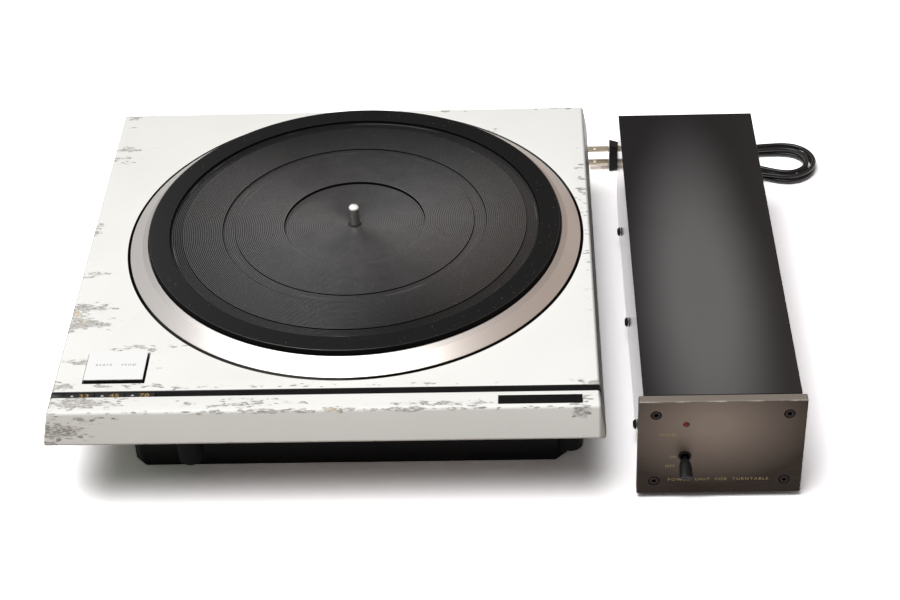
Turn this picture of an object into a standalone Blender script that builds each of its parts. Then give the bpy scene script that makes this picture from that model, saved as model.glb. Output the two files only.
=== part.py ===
"""Direct-drive turntable deck with its separate power unit, modelled piece by piece.

Metres, +Z up. The deck stands on its bottom cover and the power unit on its feet. Each is built round an
empty on the floor: the deck round the middle of its top plate, the power unit round the middle of its
front face. The world's origin is the middle of the floor under both.
"""
import math

import bmesh
import bpy
from mathutils import Matrix, Vector

mm = 0.001

# Clearances
gap = 0.3 * mm               # between two pieces that touch on the real product
overrun = 6 * mm             # how far a cutting shape runs past what it cuts
merge_reach = 0.002 * mm     # within which a turned piece's corners on its axis become one

# Deck, with its top plate set out round the platter's well
deck_height = 80 * mm
skirt_drop = 21.6 * mm
side_flare = 3.6 * mm
front_flare = 8.5 * mm
frame_wall = 4 * mm
corner_round = 2 * mm
well_front_margin = 28.9 * mm
well_rear_margin = 1.7 * mm
well_left_margin = 27.5 * mm
well_right_margin = 5.1 * mm

# Platter, measured about its own axis
platter_radius = 162 * mm
platter_well_gap = 2.1 * mm
ring_width = 14 * mm         # of bare metal round the mat
mat_rise = 12 * mm           # of the mat's top over the deck
spindle_radius = 3.6 * mm
spindle_rise = 25.8 * mm     # of the spindle's tip over the deck

# Motor
rotor_radius = 58 * mm
shaft_radius = 5 * mm
stator_teeth = 12

# Bottom cover
cover_side_inset = 15.6 * mm     # of the cover's sides inside the well's radius
cover_end_inset = 7.9 * mm
cover_sheet = 2 * mm
cover_chamfer = 8 * mm

# Controls, measured from the edges of the top plate
groove_width = 6.3 * mm
groove_depth = 2.2 * mm
groove_inset = 18.3 * mm
key_pitch = 20 * mm
key_count = 3
key_row_inset = 9 * mm
button_width = 39.4 * mm
button_depth = 29.4 * mm
button_inset = 20.1 * mm
button_setback = 8.85 * mm       # behind the groove
button_rise = 2.8 * mm

# Power unit
unit_gap = 20.3 * mm         # from the deck's skirt to the front plate
unit_setback = 6.4 * mm      # of the front plate behind the deck's front
front_plate_width = 108.3 * mm
front_plate_height = 79.8 * mm
front_plate_thickness = 7 * mm
unit_foot_height = 5 * mm
unit_cover_inset = 3.1 * mm  # of the cover's sides inside the front plate's
unit_cover_height = 78.9 * mm
unit_cover_length = 333 * mm
unit_sheet = 1.2 * mm
lever_length = 22 * mm
lever_droop = math.radians(15)

# Mains cord
cord_diameter = 3.6 * mm

# Finishes: base colour, roughness, metallic
off_white_paint = ((0.86, 0.85, 0.81), 0.5, 0.0)
turned_aluminium = ((0.72, 0.68, 0.66), 0.35, 1.0)
cast_aluminium = ((0.55, 0.55, 0.56), 0.5, 1.0)
bright_steel = ((0.8, 0.8, 0.8), 0.22, 1.0)
dull_steel = ((0.42, 0.42, 0.43), 0.45, 1.0)
brass_metal = ((0.72, 0.55, 0.28), 0.35, 1.0)
copper_wire = ((0.62, 0.28, 0.14), 0.4, 1.0)
dark_magnet = ((0.05, 0.05, 0.055), 0.6, 0.0)
mat_rubber = ((0.022, 0.021, 0.022), 0.6, 0.0)
black_rubber = ((0.015, 0.015, 0.015), 0.75, 0.0)
black_plastic = ((0.018, 0.018, 0.019), 0.45, 0.0)
black_paint = ((0.014, 0.014, 0.016), 0.5, 0.0)
dark_trim = ((0.035, 0.035, 0.037), 0.4, 0.0)
grey_sheet = ((0.06, 0.058, 0.057), 0.45, 0.3)
brown_plate = ((0.16, 0.135, 0.12), 0.4, 0.6)
red_lens = ((0.55, 0.02, 0.01), 0.2, 0.0)
board_green = ((0.05, 0.16, 0.07), 0.5, 0.0)
cord_black = ((0.012, 0.012, 0.013), 0.4, 0.0)

for old in list(bpy.data.objects):
    bpy.data.objects.remove(old, do_unlink=True)
scene = bpy.context.scene
parts = bpy.data.collections.new("dj_turntable")
cutters = bpy.data.collections.new("cutting_shapes")
scene.collection.children.link(parts)
scene.collection.children.link(cutters)


def empty(name, parent, place):
    """An empty that pieces are placed from."""
    holder = bpy.data.objects.new(name, None)
    parts.objects.link(holder)
    holder.parent = parent
    holder.location = place
    return holder


def box(size, centre):
    """A box about its centre."""
    shape = bmesh.new()
    spread = Matrix.Translation(centre) @ Matrix.Diagonal((*size, 1))
    bmesh.ops.create_cube(shape, size=1, matrix=spread)
    return shape


def block(low, high):
    """A box from its lowest corner to its highest."""
    size = [b - a for a, b in zip(low, high)]
    centre = [(a + b) / 2 for a, b in zip(low, high)]
    return box(size, centre)


def tapered_block(bottom, top):
    """A block with unlike ends, each end given as low x, high x, low y, high y and its height."""
    shape = bmesh.new()
    bmesh.ops.create_cube(shape, size=1)
    for corner in shape.verts:
        low_x, high_x, low_y, high_y, level = top if corner.co.z > 0 else bottom
        corner.co = (high_x if corner.co.x > 0 else low_x, high_y if corner.co.y > 0 else low_y, level)
    return shape


def rod(radius, start, length, axis="Z", end_radius=None, sides=20):
    """A round rod, or a cone, that runs from its start along an axis."""
    turn = {"Z": Matrix.Identity(4),
            "Y": Matrix.Rotation(math.radians(-90), 4, 'X'),
            "X": Matrix.Rotation(math.radians(90), 4, 'Y')}[axis]
    shape = bmesh.new()
    place = Matrix.Translation(start) @ turn @ Matrix.Translation((0, 0, length / 2))
    far_radius = radius if end_radius is None else end_radius
    bmesh.ops.create_cone(shape, cap_ends=True, segments=sides, radius1=radius, radius2=far_radius,
                          depth=length, matrix=place)
    return shape


def ring(outer, inner, low, high, sides):
    """A flat ring about the upright axis."""
    shape = bmesh.new()
    corners = [shape.verts.new((radius, 0, level))
               for radius, level in ((outer, high), (outer, low), (inner, low), (inner, high))]
    edges = [shape.edges.new((corners[number - 1], corners[number])) for number in range(len(corners))]
    bmesh.ops.spin(shape, geom=corners + edges, cent=(0, 0, 0), axis=(0, 0, 1), angle=math.tau,
                   steps=sides, use_merge=True)
    bmesh.ops.recalc_face_normals(shape, faces=shape.faces)
    return shape


def chamfer_uprights(shape, width, steps=1):
    """Chamfers or rounds the upright edges of a block."""
    uprights = [edge for edge in shape.edges
                if abs((edge.verts[0].co - edge.verts[1].co).normalized().z) > math.cos(math.radians(30))]
    bmesh.ops.bevel(shape, geom=uprights, offset=width, segments=steps, profile=0.5, affect='EDGES')
    return shape


def mesh_of(name, shapes):
    """One mesh that holds all the shapes, shaded smooth except at sharp edges."""
    whole = bmesh.new()
    for shape in shapes:
        loose = bpy.data.meshes.new(name)
        shape.to_mesh(loose)
        shape.free()
        whole.from_mesh(loose)
        bpy.data.meshes.remove(loose)
    mesh = bpy.data.meshes.new(name)
    whole.to_mesh(mesh)
    whole.free()
    mesh.shade_smooth()
    mesh.set_sharp_from_angle(angle=math.radians(30))
    return mesh


def finish_piece(piece, finish):
    """Puts a piece in the model's collection and gives it its material."""
    colour, roughness, metallic = finish
    material = bpy.data.materials.new(piece.name)
    material.use_nodes = True
    surface = material.node_tree.nodes["Principled BSDF"]
    surface.inputs["Base Color"].default_value = (*colour, 1)
    surface.inputs["Roughness"].default_value = roughness
    surface.inputs["Metallic"].default_value = metallic
    piece.data.materials.append(material)
    parts.objects.link(piece)
    return piece


def add_piece(name, parent, finish, shapes, place=(0, 0, 0)):
    """A named piece made of one or more shapes."""
    piece = bpy.data.objects.new(name, mesh_of(name, shapes))
    piece.parent = parent
    piece.location = place
    return finish_piece(piece, finish)


def add_cutter(name, parent, shapes, place=(0, 0, 0)):
    """A shape that other pieces are cut by or joined with."""
    cutter = bpy.data.objects.new(name, mesh_of(name, shapes))
    cutter.parent = parent
    cutter.location = place
    cutters.objects.link(cutter)
    cutter.hide_render = True
    cutter.display_type = 'WIRE'
    return cutter


def combine(piece, other, operation):
    """Cuts a piece by another shape, or joins that shape to it."""
    step = piece.modifiers.new(operation.lower() + " " + other.name, 'BOOLEAN')
    step.operation = operation
    step.object = other
    step.solver = 'EXACT'


def cut(piece, name, shapes, place=(0, 0, 0)):
    """Cuts shapes out of a piece."""
    combine(piece, add_cutter(name, piece.parent, shapes, place), 'DIFFERENCE')


def join(piece, name, shapes, place=(0, 0, 0)):
    """Joins shapes to a piece, as one casting or moulding."""
    combine(piece, add_cutter(name, piece.parent, shapes, place), 'UNION')


def turn_profile(piece, sides):
    """Turns the profile in a piece's mesh once round its own Z axis."""
    step = piece.modifiers.new("turn", 'SCREW')
    step.steps = sides
    step.render_steps = sides
    step.use_merge_vertices = True
    step.merge_threshold = merge_reach
    step.use_smooth_shade = True


def profile_mesh(name, points, closed):
    """A profile of radius and height, drawn down its outer side, as a chain of edges."""
    outline = bmesh.new()
    corners = [outline.verts.new((radius, 0, height)) for radius, height in points]
    for first, second in zip(corners, corners[1:]):
        outline.edges.new((first, second))
    if closed:
        outline.edges.new((corners[-1], corners[0]))
    mesh = bpy.data.meshes.new(name)
    outline.to_mesh(mesh)
    outline.free()
    return mesh


def add_turned(name, parent, finish, points, sides, closed=True, place=(0, 0, 0)):
    """A turned piece. A closed profile makes a ring, an open one runs from axis to axis."""
    piece = bpy.data.objects.new(name, profile_mesh(name, points, closed))
    piece.parent = parent
    piece.location = place
    turn_profile(piece, sides)
    return finish_piece(piece, finish)


def around(count, radius, start_angle=0.0):
    """Places evenly spaced on a circle, with the angle of each."""
    for index in range(count):
        angle = start_angle + math.tau * index / count
        yield radius * math.cos(angle), radius * math.sin(angle), angle


def turned_about_z(shape, angle, place):
    """Turns a shape about the upright axis and puts it in its place."""
    bmesh.ops.transform(shape, matrix=Matrix.Translation(place) @ Matrix.Rotation(angle, 4, 'Z'),
                        verts=shape.verts)
    return shape


def add_tube(name, parent, finish, points, radius, resolution):
    """A round tube with filled ends along a chain of points."""
    curve = bpy.data.curves.new(name, 'CURVE')
    curve.dimensions = '3D'
    curve.bevel_depth = radius
    curve.bevel_resolution = resolution
    curve.use_fill_caps = True
    line = curve.splines.new('POLY')
    line.points.add(len(points) - 1)
    for spot, point in zip(line.points, points):
        spot.co = (*point, 1)
    tube = bpy.data.objects.new(name, curve)
    tube.parent = parent
    return finish_piece(tube, finish)


def curved_route(knots, spacing):
    """Evenly spaced points on a smooth curve through knots, each given with the curve's direction there."""
    samples = 40
    dense = [knots[0][0]]
    for (start, start_way), (end, end_way) in zip(knots, knots[1:]):
        reach = (end - start).length / 3
        handles = (start, start + start_way * reach, end - end_way * reach, end)
        for sample in range(1, samples + 1):
            t = sample / samples
            weights = ((1 - t) ** 3, 3 * t * (1 - t) ** 2, 3 * t ** 2 * (1 - t), t ** 3)
            dense.append(sum((handle * weight for handle, weight in zip(handles, weights)), Vector()))
    return even_points(dense, spacing)


def even_points(chain, spacing):
    """The same chain with its points evenly spaced."""
    lengths = [0.0]
    for first, second in zip(chain, chain[1:]):
        lengths.append(lengths[-1] + (second - first).length)
    count = max(2, round(lengths[-1] / spacing))
    points = []
    position = 0
    for index in range(count + 1):
        target = lengths[-1] * index / count
        while position < len(chain) - 2 and lengths[position + 1] < target:
            position += 1
        span = lengths[position + 1] - lengths[position]
        points.append(chain[position].lerp(chain[position + 1], (target - lengths[position]) / span))
    return points


def chain_length(chain):
    """Length of a chain of points."""
    return sum((second - first).length for first, second in zip(chain, chain[1:]))


def least_gap(chain, diameter):
    """The least gap that a tube of this diameter leaves to itself, away from its own neighbouring stretches."""
    step = diameter / 4
    dense = even_points(chain, step)
    far = round(math.pi * diameter / step)
    least = min((dense[a] - dense[b]).length for a in range(len(dense)) for b in range(a + far, len(dense)))
    return least - diameter


# Where the deck and the power unit stand
well_radius = platter_radius + platter_well_gap
plate_width = 2 * well_radius + well_left_margin + well_right_margin
plate_depth = 2 * well_radius + well_front_margin + well_rear_margin
platter_x = (well_left_margin - well_right_margin) / 2
platter_y = (well_front_margin - well_rear_margin) / 2
mat_radius = platter_radius - ring_width
cover_width = 2 * (well_radius - cover_side_inset)
cover_depth = 2 * (well_radius - cover_end_inset)
deck_width = plate_width + 2 * side_flare
deck_front = plate_depth / 2 + front_flare
deck_rear = plate_depth / 2 + side_flare
set_width = deck_width + unit_gap + front_plate_width

# Toggle lever: a paddle on a ball
lever_ball = 2.7 * mm
lever_play = 0.5 * mm
lever_neck = 3 * mm
lever_neck_length = 8 * mm
lever_root_width = 4.6 * mm
lever_tip_width = 8.8 * mm
lever_root_thickness = 4 * mm
lever_tip_thickness = 5.4 * mm
lever_edge = 1 * mm
lever_pivot_depth = 2.5 * mm      # behind the front plate's face
lever_reach = (lever_length * math.cos(lever_droop) + lever_tip_thickness / 2 * math.sin(lever_droop)
               - lever_pivot_depth)

set_front = max(deck_front, deck_front - unit_setback + lever_reach)
middle_y = (set_front - deck_rear) / 2
deck = empty("deck", None, ((deck_width - set_width) / 2, middle_y, 0))
platter_axis = empty("platter_axis", deck, (platter_x, platter_y, 0))
unit = empty("power_unit", None, ((set_width - front_plate_width) / 2, middle_y - deck_front + unit_setback, 0))

# Deck frame: a die casting with a flared skirt, a round well and a plate that carries the motor
top_underside = deck_height - frame_wall
skirt_bottom = deck_height - skirt_drop
motor_plate_thickness = 3.5 * mm
motor_plate_top = skirt_bottom + motor_plate_thickness
motor_plate_margin = 4 * mm
well_wall = 1.5 * mm
well_sides = 72
rotor_side_clearance = 8 * mm
motor_hole_radius = rotor_radius + rotor_side_clearance
button_play = 1.2 * mm
key_play = 0.5 * mm
key_width = key_pitch - key_play
key_depth = groove_width - 2 * gap - key_play
groove_y = groove_inset - plate_depth / 2
key_row_start = key_row_inset - plate_width / 2
key_row_end = key_row_start + key_count * key_pitch
first_key_x = key_row_start + key_pitch / 2
button_x = button_inset + button_width / 2 - plate_width / 2
button_y = groove_y + groove_width / 2 + button_setback + button_depth / 2
name_plate_width = 54.6 * mm
name_plate_depth = 8.1 * mm
name_plate_side_inset = 39.2 * mm
name_plate_front_inset = 7.4 * mm
name_plate_x = plate_width / 2 - name_plate_side_inset
name_plate_y = name_plate_front_inset - plate_depth / 2
name_plate_recess = 0.7 * mm

frame = add_piece("deck_frame", deck, off_white_paint, [tapered_block(
    (-deck_width / 2, deck_width / 2, -deck_front, deck_rear, skirt_bottom),
    (-plate_width / 2, plate_width / 2, -plate_depth / 2, plate_depth / 2, deck_height))])
rounding = frame.modifiers.new("rounded edges", 'BEVEL')
rounding.width = corner_round
rounding.segments = 2
rounding.limit_method = 'ANGLE'
rounding.angle_limit = math.radians(40)
side_slope = side_flare / skirt_drop
front_slope = front_flare / skirt_drop
deep = skirt_drop + overrun
cut(frame, "frame_hollow", [tapered_block(
    (-plate_width / 2 + frame_wall - deep * side_slope, plate_width / 2 - frame_wall + deep * side_slope,
     -plate_depth / 2 + frame_wall - deep * front_slope, plate_depth / 2 - frame_wall + deep * side_slope,
     deck_height - deep),
    (-plate_width / 2 + frame_wall, plate_width / 2 - frame_wall,
     -plate_depth / 2 + frame_wall, plate_depth / 2 - frame_wall, top_underside))])
motor_plate_half_width = cover_width / 2 + motor_plate_margin
motor_plate_half_depth = cover_depth / 2 + motor_plate_margin
join(frame, "frame_motor_plate", [block(
    (platter_x - motor_plate_half_width, platter_y - motor_plate_half_depth, skirt_bottom),
    (platter_x + motor_plate_half_width, platter_y + motor_plate_half_depth, motor_plate_top))])
join(frame, "frame_well_wall", [rod(
    well_radius + well_wall, (platter_x, platter_y, (skirt_bottom + motor_plate_top) / 2),
    top_underside + frame_wall / 2 - (skirt_bottom + motor_plate_top) / 2, sides=well_sides)])
cut(frame, "frame_well", [rod(well_radius, (platter_x, platter_y, motor_plate_top),
                              deck_height - motor_plate_top + overrun, sides=well_sides)])
cut(frame, "frame_motor_hole", [rod(motor_hole_radius, (platter_x, platter_y, skirt_bottom - overrun),
                                    motor_plate_thickness + 2 * overrun, sides=64)])
groove_floor = deck_height - groove_depth
cut(frame, "frame_groove", [block(
    (-deck_width / 2 - overrun, groove_y - groove_width / 2, groove_floor),
    (deck_width / 2 + overrun, groove_y + groove_width / 2, deck_height + overrun))])
cut(frame, "frame_control_holes", [
    block((key_row_start - gap, groove_y - key_depth / 2 - gap, top_underside - overrun),
          (key_row_end + gap, groove_y + key_depth / 2 + gap, deck_height)),
    box((button_width + 2 * button_play, button_depth + 2 * button_play, 2 * frame_wall + overrun),
        (button_x, button_y, deck_height))])
cut(frame, "frame_name_recess", [box(
    (name_plate_width + 2 * gap, name_plate_depth + 2 * gap, 2 * name_plate_recess),
    (name_plate_x, name_plate_y, deck_height))])

# Ribs under the frame, from the well's wall to the skirt
rib_thickness = 3 * mm
rib_depth = 10 * mm
rib_overlap = 1 * mm
rib_offset_share = 0.55      # of the well's radius, from the middle ribs to the outer ones
rib_ends = ((-1, 0), (1, 0), (-1, rib_offset_share), (1, rib_offset_share), (1, -rib_offset_share))
ribs = []
for side, offset_share in rib_ends:
    rib_y = platter_y + offset_share * well_radius
    inner_x = platter_x + side * (math.sqrt(well_radius ** 2 - (rib_y - platter_y) ** 2) + well_wall - rib_overlap)
    outer_x = side * (plate_width / 2 - frame_wall + rib_overlap)
    ribs.append(block((min(inner_x, outer_x), rib_y - rib_thickness / 2, top_underside - rib_depth),
                      (max(inner_x, outer_x), rib_y + rib_thickness / 2, top_underside + rib_overlap)))
join(frame, "frame_ribs", ribs)

# Control strip, in the groove beside the keys
strip_thickness = 0.9 * mm
strip_end_inset = 0.6 * mm
add_piece("control_strip", deck, dark_trim, [block(
    (key_row_end + 2 * gap, groove_y - groove_width / 2 + gap, groove_floor + gap),
    (plate_width / 2 - strip_end_inset, groove_y + groove_width / 2 - gap,
     groove_floor + gap + strip_thickness))])

# Name plate, bare, in its recess in the front lip
name_plate_thickness = 0.7 * mm
add_piece("name_plate", deck, dark_trim, [block(
    (name_plate_x - name_plate_width / 2, name_plate_y - name_plate_depth / 2,
     deck_height - name_plate_recess + gap),
    (name_plate_x + name_plate_width / 2, name_plate_y + name_plate_depth / 2,
     deck_height - name_plate_recess + gap + name_plate_thickness))])

# Control board under the keys and the button, hung from bosses of the frame
board_thickness = 1.6 * mm
control_board_drop = 14 * mm     # of its top below the deck's
control_board_top = deck_height - control_board_drop
board_left_margin = 5.6 * mm
board_right_margin = 12.4 * mm
board_front_margin = 10.9 * mm
board_rear_margin = 3.2 * mm
board_boss_radius = 2.6 * mm
board_boss_inset = 4 * mm
control_board_low = (key_row_start - board_left_margin, groove_y - board_front_margin)
control_board_high = (key_row_end + board_right_margin, button_y + button_depth / 2 + board_rear_margin)
control_board = add_piece("control_board", deck, board_green, [block(
    (*control_board_low, control_board_top - board_thickness), (*control_board_high, control_board_top))])
join(frame, "frame_board_bosses", [
    rod(board_boss_radius, (x, y, control_board_top + gap),
        top_underside + rib_overlap - control_board_top - gap, sides=10)
    for x in (control_board_low[0] + board_boss_inset, control_board_high[0] - board_boss_inset)
    for y in (control_board_low[1] + board_boss_inset, control_board_high[1] - board_boss_inset)])

# Speed keys: each is a cap in the groove with a wider foot that stops under the top plate
key_travel = 0.8 * mm
key_drop = 1.1 * mm              # of the keys' tops below the deck's
key_top = deck_height - key_drop
key_foot_depth = 8.6 * mm
key_foot_thickness = 2.2 * mm
key_foot_top = top_underside - gap
key_foot_bottom = key_foot_top - key_foot_thickness
key_names = ("speed_key_33", "speed_key_45", "speed_key_78")
for index, key_name in enumerate(key_names):
    key_x = first_key_x + index * key_pitch
    key = add_piece(key_name, deck, dark_trim, [block(
        (-key_width / 2, -key_depth / 2, key_foot_bottom), (key_width / 2, key_depth / 2, key_top))],
        (key_x, groove_y, 0))
    join(key, key_name + "_foot", [block((-key_width / 2, -key_foot_depth / 2, key_foot_bottom),
                                         (key_width / 2, key_foot_depth / 2, key_foot_top))],
         (key_x, groove_y, 0))
switch_size = 6 * mm
switch_top = key_foot_bottom - key_travel - gap
board_middle = control_board_top - board_thickness / 2
join(control_board, "key_switches", [
    block((first_key_x + index * key_pitch - switch_size / 2, groove_y - switch_size / 2, board_middle),
          (first_key_x + index * key_pitch + switch_size / 2, groove_y + switch_size / 2, switch_top))
    for index in range(key_count)])

# Start and stop button: a black body with a bright cap, its return spring and its switch
button_travel = 1.5 * mm
cap_thickness = 0.7 * mm
cap_edge = 0.1 * mm
button_flange_margin = 3.4 * mm
button_flange_thickness = 2.4 * mm
button_flange_top = top_underside - gap
button_flange_bottom = button_flange_top - button_flange_thickness
button_body_top = deck_height + button_rise - cap_thickness - gap
start_axis = empty("start_axis", deck, (button_x, button_y, 0))
button = add_piece("start_button", start_axis, black_plastic, [block(
    (-button_width / 2 + cap_edge, -button_depth / 2 + cap_edge, button_flange_bottom),
    (button_width / 2 - cap_edge, button_depth / 2 - cap_edge, button_body_top))])
button_flange_half_width = button_width / 2 + button_flange_margin
button_flange_half_depth = button_depth / 2 + button_flange_margin - button_play
join(button, "start_button_flange", [block(
    (-button_flange_half_width, -button_flange_half_depth, button_flange_bottom),
    (button_flange_half_width, button_flange_half_depth, button_flange_top))])
add_piece("start_button_cap", start_axis, bright_steel, [block(
    (-button_width / 2, -button_depth / 2, button_body_top + gap),
    (button_width / 2, button_depth / 2, deck_height + button_rise))])
start_switch_width = 12 * mm
start_switch_x = 9 * mm
join(control_board, "start_switch", [block(
    (button_x + start_switch_x - start_switch_width / 2, button_y - start_switch_width / 2, board_middle),
    (button_x + start_switch_x + start_switch_width / 2, button_y + start_switch_width / 2,
     button_flange_bottom - button_travel - gap))])
spring_wire = 0.7 * mm
spring_mean_radius = 4 * mm
spring_turns = 3
spring_points_per_turn = 10
spring_bottom = control_board_top + gap + spring_wire / 2
spring_top = button_flange_bottom - gap - spring_wire / 2
spring_points = []
for index in range(spring_turns * spring_points_per_turn + 1):
    share = index / (spring_turns * spring_points_per_turn)
    angle = math.tau * spring_turns * share
    spring_points.append(Vector((-start_switch_x + spring_mean_radius * math.cos(angle),
                                 spring_mean_radius * math.sin(angle),
                                 spring_bottom + (spring_top - spring_bottom) * share)))
add_tube("start_button_spring", start_axis, dull_steel, spring_points, spring_wire / 2, 1)

# Platter: a turned casting with a bevelled ring round the mat, a deep rim and a hub
platter_sides = 72
rim_rise = 0.8 * mm              # of the rim over the deck
rim_reach = 15.4 * mm            # of the rim below the deck
rim_wall = 8 * mm
ring_bevel = 9.5 * mm
ring_rise = 6.6 * mm             # of the ring's break over the deck
ring_inner_rise = 8.3 * mm
ring_inner_width = 3.3 * mm
mat_play = 0.5 * mm
mat_seat_rise = 6.3 * mm
web_thickness = 4.5 * mm
hub_radius = 36 * mm
hub_draft = 1.5 * mm
hub_drop = 6 * mm                # of the hub's underside below the deck
hub_boss_radius = 12 * mm
ring_break_radius = platter_radius - ring_bevel
mat_seat_radius = mat_radius + mat_play
mat_seat = deck_height + mat_seat_rise
web_underside = mat_seat - web_thickness
hub_bottom = deck_height - hub_drop
add_turned("platter", platter_axis, turned_aluminium, [
    (platter_radius, deck_height + rim_rise),
    (platter_radius, deck_height - rim_reach),
    (platter_radius - rim_wall, deck_height - rim_reach),
    (platter_radius - rim_wall, web_underside),
    (hub_radius, web_underside),
    (hub_radius - hub_draft, hub_bottom),
    (hub_boss_radius + gap, hub_bottom),
    (hub_boss_radius + gap, mat_seat),
    (mat_seat_radius, mat_seat),
    (mat_seat_radius, deck_height + ring_inner_rise),
    (ring_break_radius - ring_inner_width, deck_height + ring_inner_rise),
    (ring_break_radius, deck_height + ring_rise)], platter_sides)

# Rubber mat with a raised rim, two ribbed bands and a recess for the record's label
mat_top = deck_height + mat_rise
mat_bottom = mat_seat + gap
mat_band_drop = 0.9 * mm
mat_label_drop = 2.8 * mm
mat_rim_width = 15 * mm
mat_outer_band_width = 38 * mm
mat_label_radius = 51 * mm
mat_groove = 1.2 * mm
mat_edge_round = 0.8 * mm
mat_rim_inner = mat_radius - mat_rim_width
mat_outer_band_inner = mat_rim_inner - mat_outer_band_width
add_turned("platter_mat", platter_axis, mat_rubber, [
    (mat_radius, mat_top - mat_edge_round),
    (mat_radius, mat_bottom),
    (spindle_radius + gap, mat_bottom),
    (spindle_radius + gap, mat_top - mat_label_drop),
    (mat_label_radius, mat_top - mat_label_drop),
    (mat_label_radius + mat_groove, mat_top - mat_band_drop),
    (mat_outer_band_inner - mat_groove, mat_top - mat_band_drop),
    (mat_outer_band_inner, mat_top - 2 * mat_band_drop),
    (mat_outer_band_inner + mat_groove, mat_top - mat_band_drop),
    (mat_rim_inner - mat_groove, mat_top - mat_band_drop),
    (mat_rim_inner, mat_top),
    (mat_radius - mat_edge_round, mat_top)], platter_sides)

# Rotor hub under the platter: a boss, a flange and a dish whose rim holds the magnet
rotor_flange_radius = 34 * mm
rotor_flange_thickness = 3.9 * mm
rotor_dish_thickness = 3.8 * mm
rotor_rim_wall = 3.4 * mm
rotor_rim_share = 0.619          # of the height inside the motor
motor_floor_space = 20 * mm      # under the motor base
base_floor_thickness = 4 * mm
base_floor = motor_floor_space + base_floor_thickness
rotor_boss_drop = 2 * mm         # of the boss below the mat's seat
rotor_flange_top = hub_bottom - gap
rotor_dish_top = rotor_flange_top - rotor_flange_thickness
rotor_dish_underside = rotor_dish_top - rotor_dish_thickness
motor_inside_height = rotor_dish_underside - base_floor
rotor_rim_bottom = rotor_dish_underside - rotor_rim_share * motor_inside_height
rotor_boss_top = mat_seat - rotor_boss_drop
add_turned("rotor_hub", platter_axis, cast_aluminium, [
    (hub_boss_radius, rotor_boss_top),
    (hub_boss_radius, rotor_flange_top),
    (rotor_flange_radius, rotor_flange_top),
    (rotor_flange_radius, rotor_dish_top),
    (rotor_radius, rotor_dish_top),
    (rotor_radius, rotor_rim_bottom),
    (rotor_radius - rotor_rim_wall, rotor_rim_bottom),
    (rotor_radius - rotor_rim_wall, rotor_dish_underside),
    (spindle_radius + gap, rotor_dish_underside),
    (spindle_radius + gap, rotor_boss_top)], 36)

# Ring magnet inside the rotor's rim
magnet_thickness = 4.7 * mm
magnet_outer = rotor_radius - rotor_rim_wall - gap
magnet_inner = magnet_outer - magnet_thickness
add_turned("rotor_magnet", platter_axis, dark_magnet, [
    (magnet_outer, rotor_dish_underside - gap),
    (magnet_outer, rotor_rim_bottom),
    (magnet_inner, rotor_rim_bottom),
    (magnet_inner, rotor_dish_underside - gap)], 36)

# Motor base: a cup hung under the frame's motor plate
base_flange_width = 12 * mm
base_flange_thickness = 3.5 * mm
base_wall = 3 * mm
base_spigot_play = 2 * mm
bearing_radius = 11 * mm
base_outer = motor_hole_radius - base_spigot_play
base_top = skirt_bottom - gap
base_bottom = motor_floor_space
add_turned("motor_base", platter_axis, cast_aluminium, [
    (motor_hole_radius + base_flange_width, base_top),
    (motor_hole_radius + base_flange_width, base_top - base_flange_thickness),
    (base_outer, base_top - base_flange_thickness),
    (base_outer, base_bottom),
    (bearing_radius + gap, base_bottom),
    (bearing_radius + gap, base_floor),
    (base_outer - base_wall, base_floor),
    (base_outer - base_wall, base_top)], 36)

# Bearing housing: a brass sleeve through the motor base, with a shoulder for the stator
stator_share = 0.333             # of the height inside the motor
stator_height = stator_share * motor_inside_height
bearing_shoulder_radius = 14 * mm
bearing_flange_radius = 18 * mm
bearing_flange_thickness = 3 * mm
bearing_reach = 3 * mm           # of the bearing below the motor base
bearing_top_play = 3 * mm        # under the rotor's dish
stator_bottom = rotor_rim_bottom
bearing_top = rotor_dish_underside - bearing_top_play
bearing_bottom = base_bottom - bearing_reach
bearing_bore = shaft_radius + gap
add_turned("bearing_housing", platter_axis, brass_metal, [
    (bearing_radius, bearing_top),
    (bearing_radius, stator_bottom - gap),
    (bearing_shoulder_radius, stator_bottom - gap),
    (bearing_shoulder_radius, base_floor + gap + bearing_flange_thickness),
    (bearing_flange_radius, base_floor + gap + bearing_flange_thickness),
    (bearing_flange_radius, base_floor + gap),
    (bearing_radius, base_floor + gap),
    (bearing_radius, bearing_bottom),
    (bearing_bore, bearing_bottom),
    (bearing_bore, bearing_top)], 24)

# Thrust cap with its spigot, the ball on it, and the spindle that stands on the ball
thrust_cap_thickness = 3.2 * mm
thrust_spigot_height = 5 * mm
thrust_cap_top = bearing_bottom - gap
thrust_spigot_top = thrust_cap_top + thrust_spigot_height
add_turned("thrust_cap", platter_axis, dull_steel, [
    (0, thrust_spigot_top),
    (shaft_radius, thrust_spigot_top),
    (shaft_radius, thrust_cap_top),
    (bearing_radius, thrust_cap_top),
    (bearing_radius, thrust_cap_top - thrust_cap_thickness),
    (0, thrust_cap_top - thrust_cap_thickness)], 24, closed=False)
ball_radius = 2.4 * mm
ball_centre = thrust_spigot_top + gap + ball_radius
ball_shape = bmesh.new()
bmesh.ops.create_uvsphere(ball_shape, u_segments=12, v_segments=8, radius=ball_radius)
add_piece("thrust_ball", platter_axis, bright_steel, [ball_shape], (0, 0, ball_centre))
shaft_bottom = ball_centre + ball_radius + gap
shaft_shoulder = rotor_dish_underside - gap
spindle_tip = deck_height + spindle_rise
dome_share = 0.8             # of the spindle's radius
dome_height = spindle_radius * dome_share
dome_steps = 4
dome = [(spindle_radius * math.sin(math.radians(90) * step / dome_steps),
         spindle_tip - dome_height * (1 - math.cos(math.radians(90) * step / dome_steps)))
        for step in range(dome_steps + 1)]
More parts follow.
